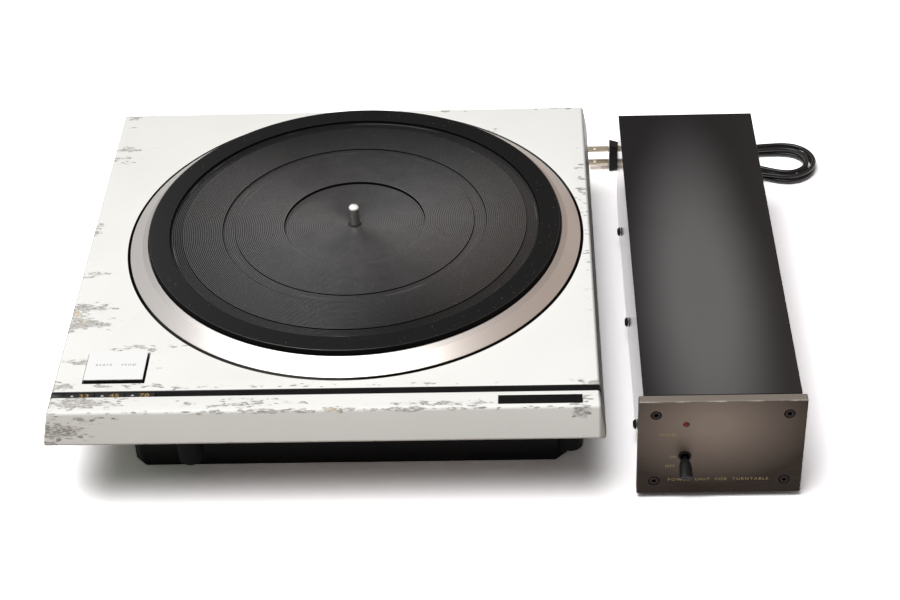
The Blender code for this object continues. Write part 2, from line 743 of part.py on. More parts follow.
add_turned("spindle", platter_axis, bright_steel, dome + [
    (spindle_radius, shaft_shoulder),
    (shaft_radius, shaft_shoulder),
    (shaft_radius, shaft_bottom),
    (0, shaft_bottom)], 24, closed=False)

# Stator core: a lamination stack with parallel teeth and pole shoes
air_gap = 0.8 * mm
stator_radius = magnet_inner - air_gap
stator_hub_radius = 22 * mm
shoe_thickness = 4.8 * mm
tooth_width = 6 * mm
shoe_slot = 2.5 * mm
core_top = stator_bottom + stator_height
core = add_turned("stator_core", platter_axis, dull_steel, [
    (stator_radius, core_top),
    (stator_radius, stator_bottom),
    (bearing_radius + gap, stator_bottom),
    (bearing_radius + gap, core_top)], 48)
window_outer = stator_radius - shoe_thickness
windows = bpy.data.objects.new("stator_windows", profile_mesh("stator_windows", [
    (window_outer, core_top + overrun),
    (window_outer, stator_bottom - overrun),
    (stator_hub_radius, stator_bottom - overrun),
    (stator_hub_radius, core_top + overrun)], True))
windows.parent = platter_axis
turn_profile(windows, 48)
cutters.objects.link(windows)
windows.hide_render = True
windows.display_type = 'WIRE'
tooth_length = window_outer - stator_hub_radius + 2 * shoe_thickness
tooth_middle = (window_outer + stator_hub_radius) / 2
half_tooth_angle = math.pi / stator_teeth
cut(windows, "stator_teeth", [
    turned_about_z(box((tooth_length, tooth_width, stator_height + 4 * overrun), (0, 0, 0)), angle,
                   (x, y, (stator_bottom + core_top) / 2))
    for x, y, angle in around(stator_teeth, tooth_middle)])
combine(core, windows, 'DIFFERENCE')
cut(core, "stator_slots", [
    turned_about_z(box((2 * (shoe_thickness + shoe_slot), shoe_slot, stator_height + 2 * overrun), (0, 0, 0)), angle,
                   (x, y, (stator_bottom + core_top) / 2))
    for x, y, angle in around(stator_teeth, stator_radius, half_tooth_angle)])

# Stator coils: one winding round each tooth, joined by the crossover wire on top
coil_wall = 2.6 * mm
coil_hub_clearance = 4 * mm
coil_start = stator_hub_radius + coil_hub_clearance
coil_inner_width = tooth_width + 2 * gap
coil_inner_height = stator_height + 2 * gap
coil_half_width = coil_inner_width / 2 + coil_wall
coil_end = math.sqrt((window_outer - gap) ** 2 - coil_half_width ** 2) - gap
coil_length = coil_end - coil_start
coil_middle = (coil_start + coil_end) / 2
core_middle = (stator_bottom + core_top) / 2
coils = add_piece("stator_coils", platter_axis, copper_wire, [
    turned_about_z(box((coil_length, 2 * coil_half_width, coil_inner_height + 2 * coil_wall),
                       (0, 0, 0)), angle, (x, y, core_middle))
    for x, y, angle in around(stator_teeth, coil_middle)])
cut(coils, "coil_openings", [
    turned_about_z(box((coil_length + overrun / 2, coil_inner_width, coil_inner_height), (0, 0, 0)), angle,
                   (x, y, core_middle))
    for x, y, angle in around(stator_teeth, coil_middle)])
crossover_wire = 1.2 * mm
coil_top = core_middle + coil_inner_height / 2 + coil_wall
join(coils, "coil_crossover", [ring(coil_middle + crossover_wire / 2, coil_middle - crossover_wire / 2,
                                    coil_top - crossover_wire / 2, coil_top + crossover_wire / 2, 24)])

# Bottom cover: a black tray with chamfered corners and four columns, recessed for their screws
cover_top = skirt_bottom - gap
column_size = 11 * mm
column_inset = 14 * mm
cover_screw_recess = 3.4 * mm
cover_screw_recess_radius = 4.1 * mm
bottom_cover = add_piece("bottom_cover", platter_axis, black_paint, [chamfer_uprights(
    block((-cover_width / 2, -cover_depth / 2, 0), (cover_width / 2, cover_depth / 2, cover_top)), cover_chamfer)])
cut(bottom_cover, "cover_hollow", [chamfer_uprights(
    block((-cover_width / 2 + cover_sheet, -cover_depth / 2 + cover_sheet, cover_sheet),
          (cover_width / 2 - cover_sheet, cover_depth / 2 - cover_sheet, cover_top + overrun)), cover_chamfer)])
column_places = [(x * (cover_width / 2 - column_inset), y * (cover_depth / 2 - column_inset))
                 for x in (-1, 1) for y in (-1, 1)]
join(bottom_cover, "cover_columns", [
    box((column_size, column_size, cover_top - cover_sheet / 2), (x, y, (cover_top + cover_sheet / 2) / 2))
    for x, y in column_places])
cut(bottom_cover, "cover_screw_recesses", [
    rod(cover_screw_recess_radius, (x, y, -overrun), overrun + cover_screw_recess, sides=16)
    for x, y in column_places])

# Drive board on bosses at the back of the bottom cover, with its components
drive_board_width = 220 * mm
drive_board_depth = 58 * mm
drive_board_rear_space = 11.2 * mm
drive_board_bottom = 8 * mm
drive_board_y = cover_depth / 2 - cover_sheet - drive_board_rear_space - drive_board_depth / 2
drive_board_top = drive_board_bottom + board_thickness
drive_board = add_piece("drive_board", platter_axis, board_green, [box(
    (drive_board_width, drive_board_depth, board_thickness),
    (0, drive_board_y, drive_board_bottom + board_thickness / 2))])
join(bottom_cover, "cover_board_bosses", [
    rod(board_boss_radius, (side_x * (drive_board_width / 2 - board_boss_inset),
                            drive_board_y + side_y * (drive_board_depth / 2 - board_boss_inset),
                            cover_sheet / 2), drive_board_bottom - gap - cover_sheet / 2, sides=10)
    for side_x in (-1, 1) for side_y in (-1, 1)])
chip_size = (19 * mm, 7 * mm, 4 * mm)
chip_shares = (-0.38, -0.24, -0.1, 0.04)
tall_capacitor_radius = 8 * mm
tall_capacitor_height = 28 * mm
tall_capacitor_shares = (0.2, 0.32, 0.44)
driver_size = (10 * mm, 4.5 * mm, 15 * mm)
driver_shares = (-0.42, -0.3, -0.18, -0.06, 0.06)
row_offset = 15 * mm
component_root = drive_board_bottom + board_thickness / 2
for size, shares, row in ((chip_size, chip_shares, -row_offset), (driver_size, driver_shares, row_offset)):
    kind = "chips" if size == chip_size else "drivers"
    join(drive_board, "drive_board_" + kind, [block(
        (share * drive_board_width - size[0] / 2, drive_board_y + row - size[1] / 2, component_root),
        (share * drive_board_width + size[0] / 2, drive_board_y + row + size[1] / 2, drive_board_top + size[2]))
        for share in shares])
join(drive_board, "drive_board_capacitors", [
    rod(tall_capacitor_radius, (share * drive_board_width, drive_board_y, component_root),
        tall_capacitor_height, sides=16) for share in tall_capacitor_shares])

# Mounting posts: bosses of the frame outside the bottom cover, with rubber sleeves on their ends
post_radius = 5 * mm
sleeve_radius = 8.5 * mm
sleeve_bottom = 20 * mm
sleeve_drop = 1.4 * mm           # of the sleeves' tops below the skirt's edge
sleeve_length = skirt_bottom - sleeve_drop - sleeve_bottom
sleeve_floor = 4 * mm
sleeve_round = 1.8 * mm
front_post_insets = (86.4 * mm, 21.4 * mm, 18.9 * mm, 30.4 * mm)
rear_post_insets = (21.4 * mm, 29.4 * mm, 10.1 * mm, 29.4 * mm)
post_places = (
    (-plate_width / 2 + front_post_insets[0], -plate_depth / 2 + front_post_insets[1]),
    (plate_width / 2 - front_post_insets[2], -plate_depth / 2 + front_post_insets[3]),
    (-plate_width / 2 + rear_post_insets[0], plate_depth / 2 - rear_post_insets[1]),
    (plate_width / 2 - rear_post_insets[2], plate_depth / 2 - rear_post_insets[3]))
post_bottom = sleeve_bottom + sleeve_floor + gap
join(frame, "frame_posts", [
    rod(post_radius, (x, y, post_bottom), top_underside + rib_overlap - post_bottom, sides=16)
    for x, y in post_places])
for number, (x, y) in enumerate(post_places, 1):
    add_turned(f"post_sleeve_{number}", deck, black_rubber, [
        (0, sleeve_bottom + sleeve_floor),
        (post_radius + gap, sleeve_bottom + sleeve_floor),
        (post_radius + gap, sleeve_bottom + sleeve_length),
        (sleeve_radius, sleeve_bottom + sleeve_length),
        (sleeve_radius, sleeve_bottom + sleeve_round),
        (sleeve_radius - sleeve_round, sleeve_bottom),
        (0, sleeve_bottom)], 16, closed=False, place=(x, y, 0))

# Round sockets: a square flange outside a wall, a barrel with a blind bore through it, and pins
socket_flange = 24 * mm
socket_flange_thickness = 1.8 * mm
socket_radius = 8.4 * mm
socket_bore = 7 * mm
socket_depth = 9 * mm
socket_barrel = 13 * mm
contact_radius = 0.9 * mm
contact_circle = 4.2 * mm
contact_length = 6 * mm
contact_root = 1 * mm
contact_count = 5


def add_socket(name, parent, x, wall_outside, wall_thickness, height):
    """A socket in a back wall. The hole in the wall for its barrel is cut with the wall."""
    face = wall_outside + gap + socket_flange_thickness
    barrel_start = wall_outside - wall_thickness - socket_barrel
    socket = add_piece(name, parent, black_plastic, [block(
        (x - socket_flange / 2, wall_outside + gap, height - socket_flange / 2),
        (x + socket_flange / 2, face, height + socket_flange / 2))])
    join(socket, name + "_barrel", [rod(socket_radius, (x, barrel_start, height),
                                        face - socket_flange_thickness / 2 - barrel_start, axis="Y")])
    cut(socket, name + "_bore", [rod(socket_bore, (x, face - socket_depth, height),
                                     socket_depth + overrun, axis="Y")])
    join(socket, name + "_pins", [
        rod(contact_radius, (x + dx, face - socket_depth - contact_root, height + dz),
            contact_root + contact_length, axis="Y", sides=8)
        for dx, dz, angle in around(contact_count, contact_circle, math.radians(90))])


# Power inlet and ground terminal in the bottom cover's back wall
inlet_x = 60 * mm
inlet_height = 32 * mm
cover_back = cover_depth / 2
add_socket("deck_inlet", platter_axis, inlet_x, cover_back, cover_sheet, inlet_height)
terminal_x = 95 * mm
terminal_radius = 1.9 * mm
terminal_knob_radius = 4.6 * mm
terminal_knob_length = 5 * mm
terminal_inside = 6 * mm
cut(bottom_cover, "cover_back_holes", [
    rod(radius + gap, (x, cover_back - cover_sheet - overrun, inlet_height),
        cover_sheet + 2 * overrun, axis="Y", sides=16)
    for x, radius in ((inlet_x, socket_radius), (terminal_x, terminal_radius))])
terminal = add_piece("ground_terminal", platter_axis, brass_metal, [rod(
    terminal_radius, (terminal_x, cover_back - cover_sheet - terminal_inside, inlet_height),
    cover_sheet + terminal_inside + terminal_knob_length / 2, axis="Y", sides=12)])
join(terminal, "ground_terminal_knob", [rod(
    terminal_knob_radius, (terminal_x, cover_back + gap, inlet_height), terminal_knob_length, axis="Y", sides=16)])

# Power unit's chassis: a tray with low sides, a front and a back panel, feet, and bosses for the board
half_cover = front_plate_width / 2 - unit_cover_inset
chassis_inset = 1 * mm           # of the back panel inside the cover
side_flange_height = 20 * mm
chassis_bottom = unit_foot_height
unit_top = chassis_bottom + unit_cover_height
cover_rear = front_plate_thickness + gap + unit_cover_length
chassis_half_width = half_cover - unit_sheet - gap
chassis_front = front_plate_thickness + gap
chassis_rear = cover_rear - chassis_inset
chassis_top = unit_top - unit_sheet - gap
chassis = add_piece("unit_chassis", unit, grey_sheet, [block(
    (-chassis_half_width, chassis_front, chassis_bottom), (chassis_half_width, chassis_rear, chassis_top))])
chassis_floor = chassis_bottom + unit_sheet
cut(chassis, "chassis_hollow", [block(
    (-chassis_half_width + unit_sheet, chassis_front + unit_sheet, chassis_floor),
    (chassis_half_width - unit_sheet, chassis_rear - unit_sheet, chassis_top + overrun))])
cut(chassis, "chassis_open_sides", [block(
    (-chassis_half_width - overrun, chassis_front + unit_sheet, chassis_bottom + side_flange_height),
    (chassis_half_width + overrun, chassis_rear - unit_sheet, chassis_top + 2 * overrun))])
unit_foot_radius = 7 * mm
unit_foot_side_inset = 15.05 * mm
unit_foot_x = half_cover - unit_foot_side_inset
unit_foot_inset = 30 * mm
join(chassis, "chassis_feet", [
    rod(unit_foot_radius, (side * unit_foot_x, y, 0), unit_foot_height + unit_sheet / 2, sides=16)
    for side in (-1, 1) for y in (chassis_front + unit_foot_inset, chassis_rear - unit_foot_inset)])

# Regulator board on the chassis bosses, with its capacitors
regulator_clearance = 8.05 * mm  # inside the cover, clear of the cover screws
regulator_width = 2 * (half_cover - regulator_clearance)
regulator_length = 96 * mm
regulator_y = 98 * mm
boss_height = 6 * mm
regulator_bottom = chassis_floor + boss_height + gap
boss_inset = 5 * mm
boss_radius = 3 * mm
join(chassis, "chassis_bosses", [
    rod(boss_radius, (side_x * (regulator_width / 2 - boss_inset),
                      regulator_y + side_y * (regulator_length / 2 - boss_inset), chassis_bottom + unit_sheet / 2),
        boss_height + unit_sheet / 2, sides=12)
    for side_x in (-1, 1) for side_y in (-1, 1)])
regulator_board = add_piece("regulator_board", unit, board_green, [box(
    (regulator_width, regulator_length, board_thickness),
    (0, regulator_y, regulator_bottom + board_thickness / 2))])
capacitor_radius = 12.5 * mm
capacitor_height = 46 * mm
join(regulator_board, "smoothing_capacitors", [
    rod(capacitor_radius, (side * regulator_width / 4, regulator_y + regulator_length / 4,
                           regulator_bottom + board_thickness / 2), capacitor_height, sides=24)
    for side in (-1, 1)])

# Heat sink with fins, and the power transistors on their insulating plate
sink_clearance = 11.05 * mm
sink_width = 2 * (half_cover - sink_clearance)
sink_base = 4 * mm
sink_height = 48 * mm
sink_depth = 22 * mm
sink_y = 172 * mm
fin_count = 9
fin_thickness = 1.6 * mm
sink_bottom = chassis_floor + gap
fin_spacing = (sink_width - fin_thickness) / (fin_count - 1)
sink = add_piece("heat_sink", unit, cast_aluminium, [block(
    (-sink_width / 2, sink_y, sink_bottom), (sink_width / 2, sink_y + sink_base, sink_bottom + sink_height))])
join(sink, "heat_sink_fins", [block(
    (-sink_width / 2 + index * fin_spacing, sink_y + sink_base / 2, sink_bottom),
    (-sink_width / 2 + index * fin_spacing + fin_thickness, sink_y + sink_depth, sink_bottom + sink_height))
    for index in range(fin_count)])
transistor_plate = 1.6 * mm
transistor_plate_height = 26 * mm
transistor_can = 7.5 * mm
transistor_can_radius = 9 * mm
transistor_height = sink_bottom + sink_height / 2
transistors = add_piece("power_transistors", unit, dull_steel, [box(
    (sink_width, transistor_plate, transistor_plate_height),
    (0, sink_y - gap - transistor_plate / 2, transistor_height))])
join(transistors, "power_transistor_cans", [
    rod(transistor_can_radius, (side * sink_width / 4, sink_y - gap - transistor_plate - transistor_can,
                                transistor_height), transistor_can + transistor_plate / 2, axis="Y")
    for side in (-1, 1)])

# Transformer: a lamination stack with two windows, and the winding round its middle leg
core_width = 72 * mm
core_height = 60 * mm
core_thickness = 34 * mm
leg_width = 24 * mm
window_width = 12 * mm
window_height = 36 * mm
transformer_y = 258 * mm
transformer_bottom = chassis_floor + gap
core_low = (-core_width / 2, transformer_y - core_thickness / 2, transformer_bottom)
core_high = (core_width / 2, transformer_y + core_thickness / 2, transformer_bottom + core_height)
window_low = transformer_bottom + (core_height - window_height) / 2
transformer_core = add_piece("transformer_core", unit, dull_steel, [block(core_low, core_high)])
cut(transformer_core, "transformer_windows", [block(
    (min(side * leg_width / 2, side * (leg_width / 2 + window_width)), core_low[1] - overrun, window_low),
    (max(side * leg_width / 2, side * (leg_width / 2 + window_width)), core_high[1] + overrun,
     window_low + window_height)) for side in (-1, 1)])
winding_overhang = 10 * mm
winding_reach = core_thickness / 2 + winding_overhang
winding = add_piece("transformer_winding", unit, copper_wire, [block(
    (-leg_width / 2 - window_width + gap, transformer_y - winding_reach, window_low + gap),
    (leg_width / 2 + window_width - gap, transformer_y + winding_reach, window_low + window_height - gap))])
cut(winding, "winding_opening", [block(
    (-leg_width / 2 - gap, transformer_y - core_thickness / 2 - gap, window_low - overrun),
    (leg_width / 2 + gap, transformer_y + core_thickness / 2 + gap, window_low + window_height + overrun))])

# Sheet cover: a folded top and two sides over the chassis
unit_cover = add_piece("unit_cover", unit, grey_sheet, [block(
    (-half_cover, chassis_front, chassis_bottom), (half_cover, cover_rear, unit_top))])
cut(unit_cover, "unit_cover_hollow", [block(
    (-half_cover + unit_sheet, chassis_front - overrun, chassis_bottom - overrun),
    (half_cover - unit_sheet, cover_rear + overrun, unit_top - unit_sheet))])

# Cover screws: three dome heads low on each side
side_screw_height = 10 * mm      # over the chassis's underside
side_screw_start = 50 * mm
side_screw_spacing = 112.5 * mm
side_screw_count = 3
side_screw_radius = 1.7 * mm
side_screw_head = 3.4 * mm
side_screw_rise = 2.2 * mm
side_screw_inside = 5 * mm
side_screw_z = chassis_bottom + side_screw_height
side_screw_places = [(side, number, chassis_front + side_screw_start + (number - 1) * side_screw_spacing)
                     for side in (-1, 1) for number in range(1, side_screw_count + 1)]
for target, name in ((chassis, "chassis_side_holes"), (unit_cover, "unit_cover_side_holes")):
    cut(target, name, [
        rod(side_screw_radius + gap, (half_cover - 2 * unit_sheet - overrun if side > 0
                                      else -half_cover - overrun, y, side_screw_z),
            2 * unit_sheet + 2 * overrun, axis="X", sides=12)
        for side, number, y in side_screw_places])
for side, number, y in side_screw_places:
    name = ("left" if side < 0 else "right") + f"_cover_screw_{number}"
    screw = add_piece(name, unit, black_paint, [
        rod(side_screw_radius, (half_cover - side_screw_inside if side > 0 else -half_cover - side_screw_rise / 2,
                                y, side_screw_z), side_screw_inside + side_screw_rise / 2, axis="X", sides=12)])
    join(screw, name + "_head", [
        rod(side_screw_head if side > 0 else side_screw_head / 2,
            (half_cover + gap if side > 0 else -half_cover - gap - side_screw_rise, y, side_screw_z),
            side_screw_rise, axis="X", end_radius=side_screw_head / 2 if side > 0 else side_screw_head, sides=16)])

# Front plate: thick aluminium with counterbored screws, a lamp and the toggle's hole
front_plate_bottom = 4 * mm
plate_screw_inset = 11.3 * mm
plate_screw_radius = 1.9 * mm
plate_screw_head = 3.4 * mm
plate_screw_head_height = 3.6 * mm
plate_screw_reach = 3 * mm
hex_radius = 1.7 * mm
hex_depth = 2 * mm
control_inset = 30.95 * mm       # of the toggle and the lamp from the plate's left edge
toggle_rise = 33 * mm            # over the plate's lower edge
lamp_height = 60.5 * mm          # over the plate's lower edge
lamp_radius = 1.8 * mm
lamp_rise = 0.7 * mm
lamp_length = 10 * mm
bushing_outer = 4 * mm
bushing_bore = lever_ball + lever_play
plate_edge = 0.5 * mm
plate_top = front_plate_bottom + front_plate_height
control_x = control_inset - front_plate_width / 2
toggle_height = front_plate_bottom + toggle_rise
lamp_z = front_plate_bottom + lamp_height
front_plate = add_piece("unit_front_plate", unit, brown_plate, [block(
    (-front_plate_width / 2, 0, front_plate_bottom), (front_plate_width / 2, front_plate_thickness, plate_top))])
soften = front_plate.modifiers.new("broken edges", 'BEVEL')
soften.width = plate_edge
soften.segments = 1
plate_screw_places = [(side * (front_plate_width / 2 - plate_screw_inset), height)
                      for side in (-1, 1) for height in (front_plate_bottom + plate_screw_inset,
                                                         plate_top - plate_screw_inset)]
cut(front_plate, "front_plate_screw_holes", [
    rod(plate_screw_radius + gap, (x, -overrun, height), front_plate_thickness + 2 * overrun, axis="Y", sides=16)
    for x, height in plate_screw_places])
cut(front_plate, "front_plate_counterbores", [
    rod(plate_screw_head + gap, (x, -overrun, height), overrun + plate_screw_head_height + gap, axis="Y")
    for x, height in plate_screw_places])
cut(front_plate, "front_plate_control_holes", [
    rod(bushing_outer + gap, (control_x, -overrun, toggle_height), front_plate_thickness + 2 * overrun, axis="Y"),
    rod(lamp_radius + gap, (control_x, -overrun, lamp_z), front_plate_thickness + 2 * overrun,
        axis="Y", sides=16)])
cut(chassis, "chassis_front_holes", [
    rod(radius + gap, (x, chassis_front - overrun, height), unit_sheet + 2 * overrun, axis="Y", sides=16)
    for x, height, radius in [(x, height, plate_screw_radius) for x, height in plate_screw_places]
    + [(control_x, toggle_height, bushing_outer), (control_x, lamp_z, lamp_radius)]])
for number, (x, height) in enumerate(plate_screw_places, 1):
    name = f"front_plate_screw_{number}"
    screw = add_piece(name, unit, black_paint, [
        rod(plate_screw_head, (x, 0, height), plate_screw_head_height, axis="Y")])
    join(screw, name + "_shank", [
        rod(plate_screw_radius, (x, plate_screw_head_height / 2, height),
            chassis_front + unit_sheet + plate_screw_reach - plate_screw_head_height / 2, axis="Y", sides=12)])
    cut(screw, name + "_socket", [
        rod(hex_radius, (x, -overrun, height), overrun + hex_depth, axis="Y", sides=6)])
lamp = add_piece("power_lamp", unit, red_lens, [rod(
    lamp_radius, (control_x, -lamp_rise, lamp_z), lamp_rise + lamp_length, axis="Y", sides=16)])
soften = lamp.modifiers.new("domed lens", 'BEVEL')
soften.width = lamp_rise
soften.segments = 2
soften.limit_method = 'ANGLE'
soften.angle_limit = math.radians(60)

# Toggle switch: its body behind the chassis panel, with the bushing that comes out through the plate
bushing_rise = 1 * mm
toggle_body_size = (13 * mm, 20 * mm, 26 * mm)
toggle_body_front = chassis_front + unit_sheet + gap
toggle_switch = add_piece("toggle_switch", unit, black_plastic, [block(
    (control_x - toggle_body_size[0] / 2, toggle_body_front, toggle_height - toggle_body_size[2] / 2),
    (control_x + toggle_body_size[0] / 2, toggle_body_front + toggle_body_size[1],
     toggle_height + toggle_body_size[2] / 2))])
join(toggle_switch, "toggle_bushing", [rod(
    bushing_outer, (control_x, -bushing_rise, toggle_height),
    bushing_rise + toggle_body_front + toggle_body_size[1] / 2, axis="Y")])
cut(toggle_switch, "toggle_bore", [rod(
    bushing_bore, (control_x, -bushing_rise - overrun, toggle_height),
    overrun + bushing_rise + lever_pivot_depth + lever_ball + gap, axis="Y")])

# Toggle lever: a ball in the bushing, a thin neck and a paddle that hangs down when the power is off
toggle_pivot = empty("toggle_pivot", unit, (control_x, lever_pivot_depth, toggle_height))
toggle_pivot.rotation_euler = (lever_droop, 0, 0)
paddle = tapered_block(
    (-lever_root_width / 2, lever_root_width / 2, -lever_root_thickness / 2, lever_root_thickness / 2,
     lever_neck_length),
    (-lever_tip_width / 2, lever_tip_width / 2, -lever_tip_thickness / 2, lever_tip_thickness / 2, lever_length))
chamfer_uprights(paddle, lever_edge, 2)
outward = Matrix.Rotation(math.radians(90), 4, 'X')
bmesh.ops.transform(paddle, matrix=outward, verts=paddle.verts)
lever = add_piece("power_toggle", toggle_pivot, black_plastic, [paddle])
ball_end = bmesh.new()
bmesh.ops.create_uvsphere(ball_end, u_segments=16, v_segments=10, radius=lever_ball)
join(lever, "power_toggle_ball", [ball_end])
join(lever, "power_toggle_neck", [rod(lever_neck / 2, (0, -lever_neck_length - lever_neck / 2, 0),
                                      lever_neck_length + lever_neck / 2, axis="Y", sides=12)])

# Back panel: output socket, fuse holder and the cord's grommet
outlet_side_inset = 27.05 * mm
outlet_x = half_cover - outlet_side_inset
outlet_height = 46 * mm
fuse_side_inset = 29.05 * mm
fuse_x = fuse_side_inset - half_cover
fuse_height = 50 * mm
fuse_radius = 6 * mm
fuse_cap_radius = 7.5 * mm
fuse_cap_length = 11 * mm
fuse_inside = 26 * mm
grommet_x = -17 * mm
grommet_height = 13.6 * mm
grommet_radius = 5.2 * mm
grommet_flange_radius = 7.6 * mm
grommet_flange_thickness = 2.4 * mm
grommet_inside = 6 * mm
boot_radius = 4.4 * mm
boot_tip_rim = 0.9 * mm
boot_length = 22 * mm
boot_tip_radius = cord_diameter / 2 + boot_tip_rim
panel_inside = chassis_rear - unit_sheet
add_socket("unit_outlet", unit, outlet_x, chassis_rear, unit_sheet, outlet_height)
cut(chassis, "chassis_back_holes", [
    rod(radius + gap, (x, panel_inside - overrun, height), unit_sheet + 2 * overrun, axis="Y")
    for x, height, radius in ((outlet_x, outlet_height, socket_radius), (fuse_x, fuse_height, fuse_radius),
                              (grommet_x, grommet_height, grommet_radius))])
fuse = add_piece("fuse_holder", unit, black_plastic, [rod(
    fuse_radius, (fuse_x, panel_inside - fuse_inside, fuse_height),
    fuse_inside + unit_sheet + gap + fuse_cap_length / 2, axis="Y")])
join(fuse, "fuse_cap", [rod(fuse_cap_radius, (fuse_x, chassis_rear + gap, fuse_height),
                            fuse_cap_length, axis="Y")])
grommet = add_piece("cord_grommet", unit, black_rubber, [rod(
    grommet_radius, (grommet_x, panel_inside - grommet_inside, grommet_height),
    grommet_inside + unit_sheet + gap + grommet_flange_thickness / 2, axis="Y")])
boot_start = chassis_rear + gap + grommet_flange_thickness
join(grommet, "grommet_flange", [rod(grommet_flange_radius, (grommet_x, chassis_rear + gap, grommet_height),
                                     grommet_flange_thickness, axis="Y")])
join(grommet, "grommet_boot", [rod(boot_radius, (grommet_x, boot_start - grommet_flange_thickness / 2,
                                                 grommet_height), boot_length + grommet_flange_thickness / 2,
                                   axis="Y", end_radius=boot_tip_radius)])

# Mains plug: a flat body on its narrow edge behind the unit, with a short relief and two blades
plug_face_inset = 105.95 * mm    # of the plug's face inside the cover's right side
plug_distance = 52 * mm          # of the plug's axis behind the unit's cover
plug_height = 25 * mm
plug_thickness = 11 * mm
plug_body_length = 19 * mm
plug_end_height = 14 * mm
plug_end_thickness = 9 * mm
plug_relief_length = 5.5 * mm
plug_relief_radius = 4.2 * mm
plug_relief_rim = 0.7 * mm
plug_edge = 1.2 * mm
floor_clearance = 0.1 * mm
plug_face_x = half_cover - plug_face_inset
plug_y = cover_rear + plug_distance
plug_z = plug_height / 2 + floor_clearance
plug_body = tapered_block(
    (-plug_height / 2, plug_height / 2, -plug_thickness / 2, plug_thickness / 2, 0),
    (-plug_end_height / 2, plug_end_height / 2, -plug_end_thickness / 2, plug_end_thickness / 2, plug_body_length))
chamfer_uprights(plug_body, plug_edge, 2)
bmesh.ops.transform(plug_body, matrix=Matrix.Translation((plug_face_x, plug_y, plug_z))
                    @ Matrix.Rotation(math.radians(90), 4, 'Y'), verts=plug_body.verts)
plug = add_piece("mains_plug", unit, black_plastic, [plug_body])
plug_tip_x = plug_face_x + plug_body_length + plug_relief_length
join(plug, "plug_relief", [rod(plug_relief_radius, (plug_face_x + plug_body_length / 2, plug_y, plug_z),
                               plug_body_length / 2 + plug_relief_length, axis="X",
                               end_radius=cord_diameter / 2 + plug_relief_rim, sides=16)])
blade_spacing = 12.7 * mm
blade_length = 17 * mm
blade_width = 6.3 * mm
blade_thickness = 1.5 * mm
blade_hole_radius = 1.6 * mm
blade_hole_distance = 11.9 * mm
for name, side in (("lower_plug_blade", -1), ("upper_plug_blade", 1)):
    blade_z = plug_z + side * blade_spacing / 2
    blade = add_piece(name, unit, brass_metal, [block(
        (plug_face_x - gap - blade_length, plug_y - blade_width / 2, blade_z - blade_thickness / 2),
        (plug_face_x - gap, plug_y + blade_width / 2, blade_z + blade_thickness / 2))])
    cut(blade, name + "_hole", [rod(
        blade_hole_radius, (plug_face_x - blade_hole_distance, plug_y, blade_z - overrun / 2), overrun, sides=12)])

# Cord hank: four loops in two layers, drawn in at the waist where the tie holds them. The cord comes in at
# the far left of the lower outer loop, winds inwards, climbs to the upper layer along a run and winds out.
hank_side_distance = 37.2 * mm   # of the right folds' middle outside the unit's cover
hank_distance = 47.2 * mm        # of the right folds' middle behind the unit's cover
hank_tilt = math.radians(-12)
hank_run = 83.6 * mm
fold_radius = 22.7 * mm
fold_step = 5.9 * mm
waist_draw = 8.2 * mm
layer_rise = 1.1 * mm            # of a layer beyond one cord's diameter
tie_thickness = 0.6 * mm
fold_points = 8
run_points = 4
climb_share = 0.7                # of the run on which the cord climbs
layer_height = cord_diameter + layer_rise
hank_base = floor_clearance + tie_thickness + gap + cord_diameter / 2
hank_end = Vector((half_cover + hank_side_distance, cover_rear + hank_distance, 0))
hank_axis = Vector((math.cos(hank_tilt), math.sin(hank_tilt), 0))
hank_side = Vector((-math.sin(hank_tilt), math.cos(hank_tilt), 0))
hank_middle = hank_end - hank_axis * hank_run / 2
# Each fold: its end of the hank, how many steps in from the outside, and its layer
folds = ((-1, -0.5, 0), (1, 0, 0), (-1, 0.5, 0), (1, 1, 0), (-1, 1.5, 0), (1, 1, 1), (-1, 0.5, 1), (1, 0, 1))


def hank_place(along, across, height):
    """A point of the hank from its place along, across and above its lowest strand."""
    return hank_middle + hank_axis * along + hank_side * across + Vector((0, 0, hank_base + height))


def fold_route(end, steps, layer, first):
    """Points of one fold, from the front to the rear on the left and back again on the right."""
    radius = fold_radius - fold_step * steps
    route = []
    for point in range(first, fold_points + 1):
        angle = math.pi * point / fold_points
        route.append(hank_place(end * (hank_run / 2 + radius * math.sin(angle)),
                                end * radius * math.cos(angle), layer * layer_height))
    return route


def run_route(start_fold, end_fold):
    """Points of one run between two folds, drawn in at the waist."""
    end, steps, layer = start_fold
    next_steps, next_layer = end_fold[1:]
    route = []
    for point in range(1, run_points + 1):
        share = point / (run_points + 1)
        radius = fold_radius - fold_step * (steps + (next_steps - steps) * share)
        climb = min(share / climb_share, 1)
        height = layer + (next_layer - layer) * climb * climb * (3 - 2 * climb)
        route.append(hank_place(end * hank_run * (1 / 2 - share),
                                -end * (radius - waist_draw * math.sin(math.pi * share) ** 2),
                                height * layer_height))
    return route


hank_points = []
for number, fold in enumerate(folds):
    hank_points += fold_route(*fold, fold_points // 2 if number == 0 else 0)
    if number + 1 < len(folds):
        hank_points += run_route(fold, folds[number + 1])
hank_points.insert(0, hank_points[0] - hank_side * cord_diameter)
hank_points.append(hank_points[-1] - hank_axis * 2 * cord_diameter)
add_tube("cord_hank", unit, cord_black, hank_points, cord_diameter / 2, 1)
print(f"hank: {chain_length(hank_points) / mm:.0f} mm of cord,"
      f" least gap to itself {least_gap(hank_points, cord_diameter) / mm:.2f} mm")

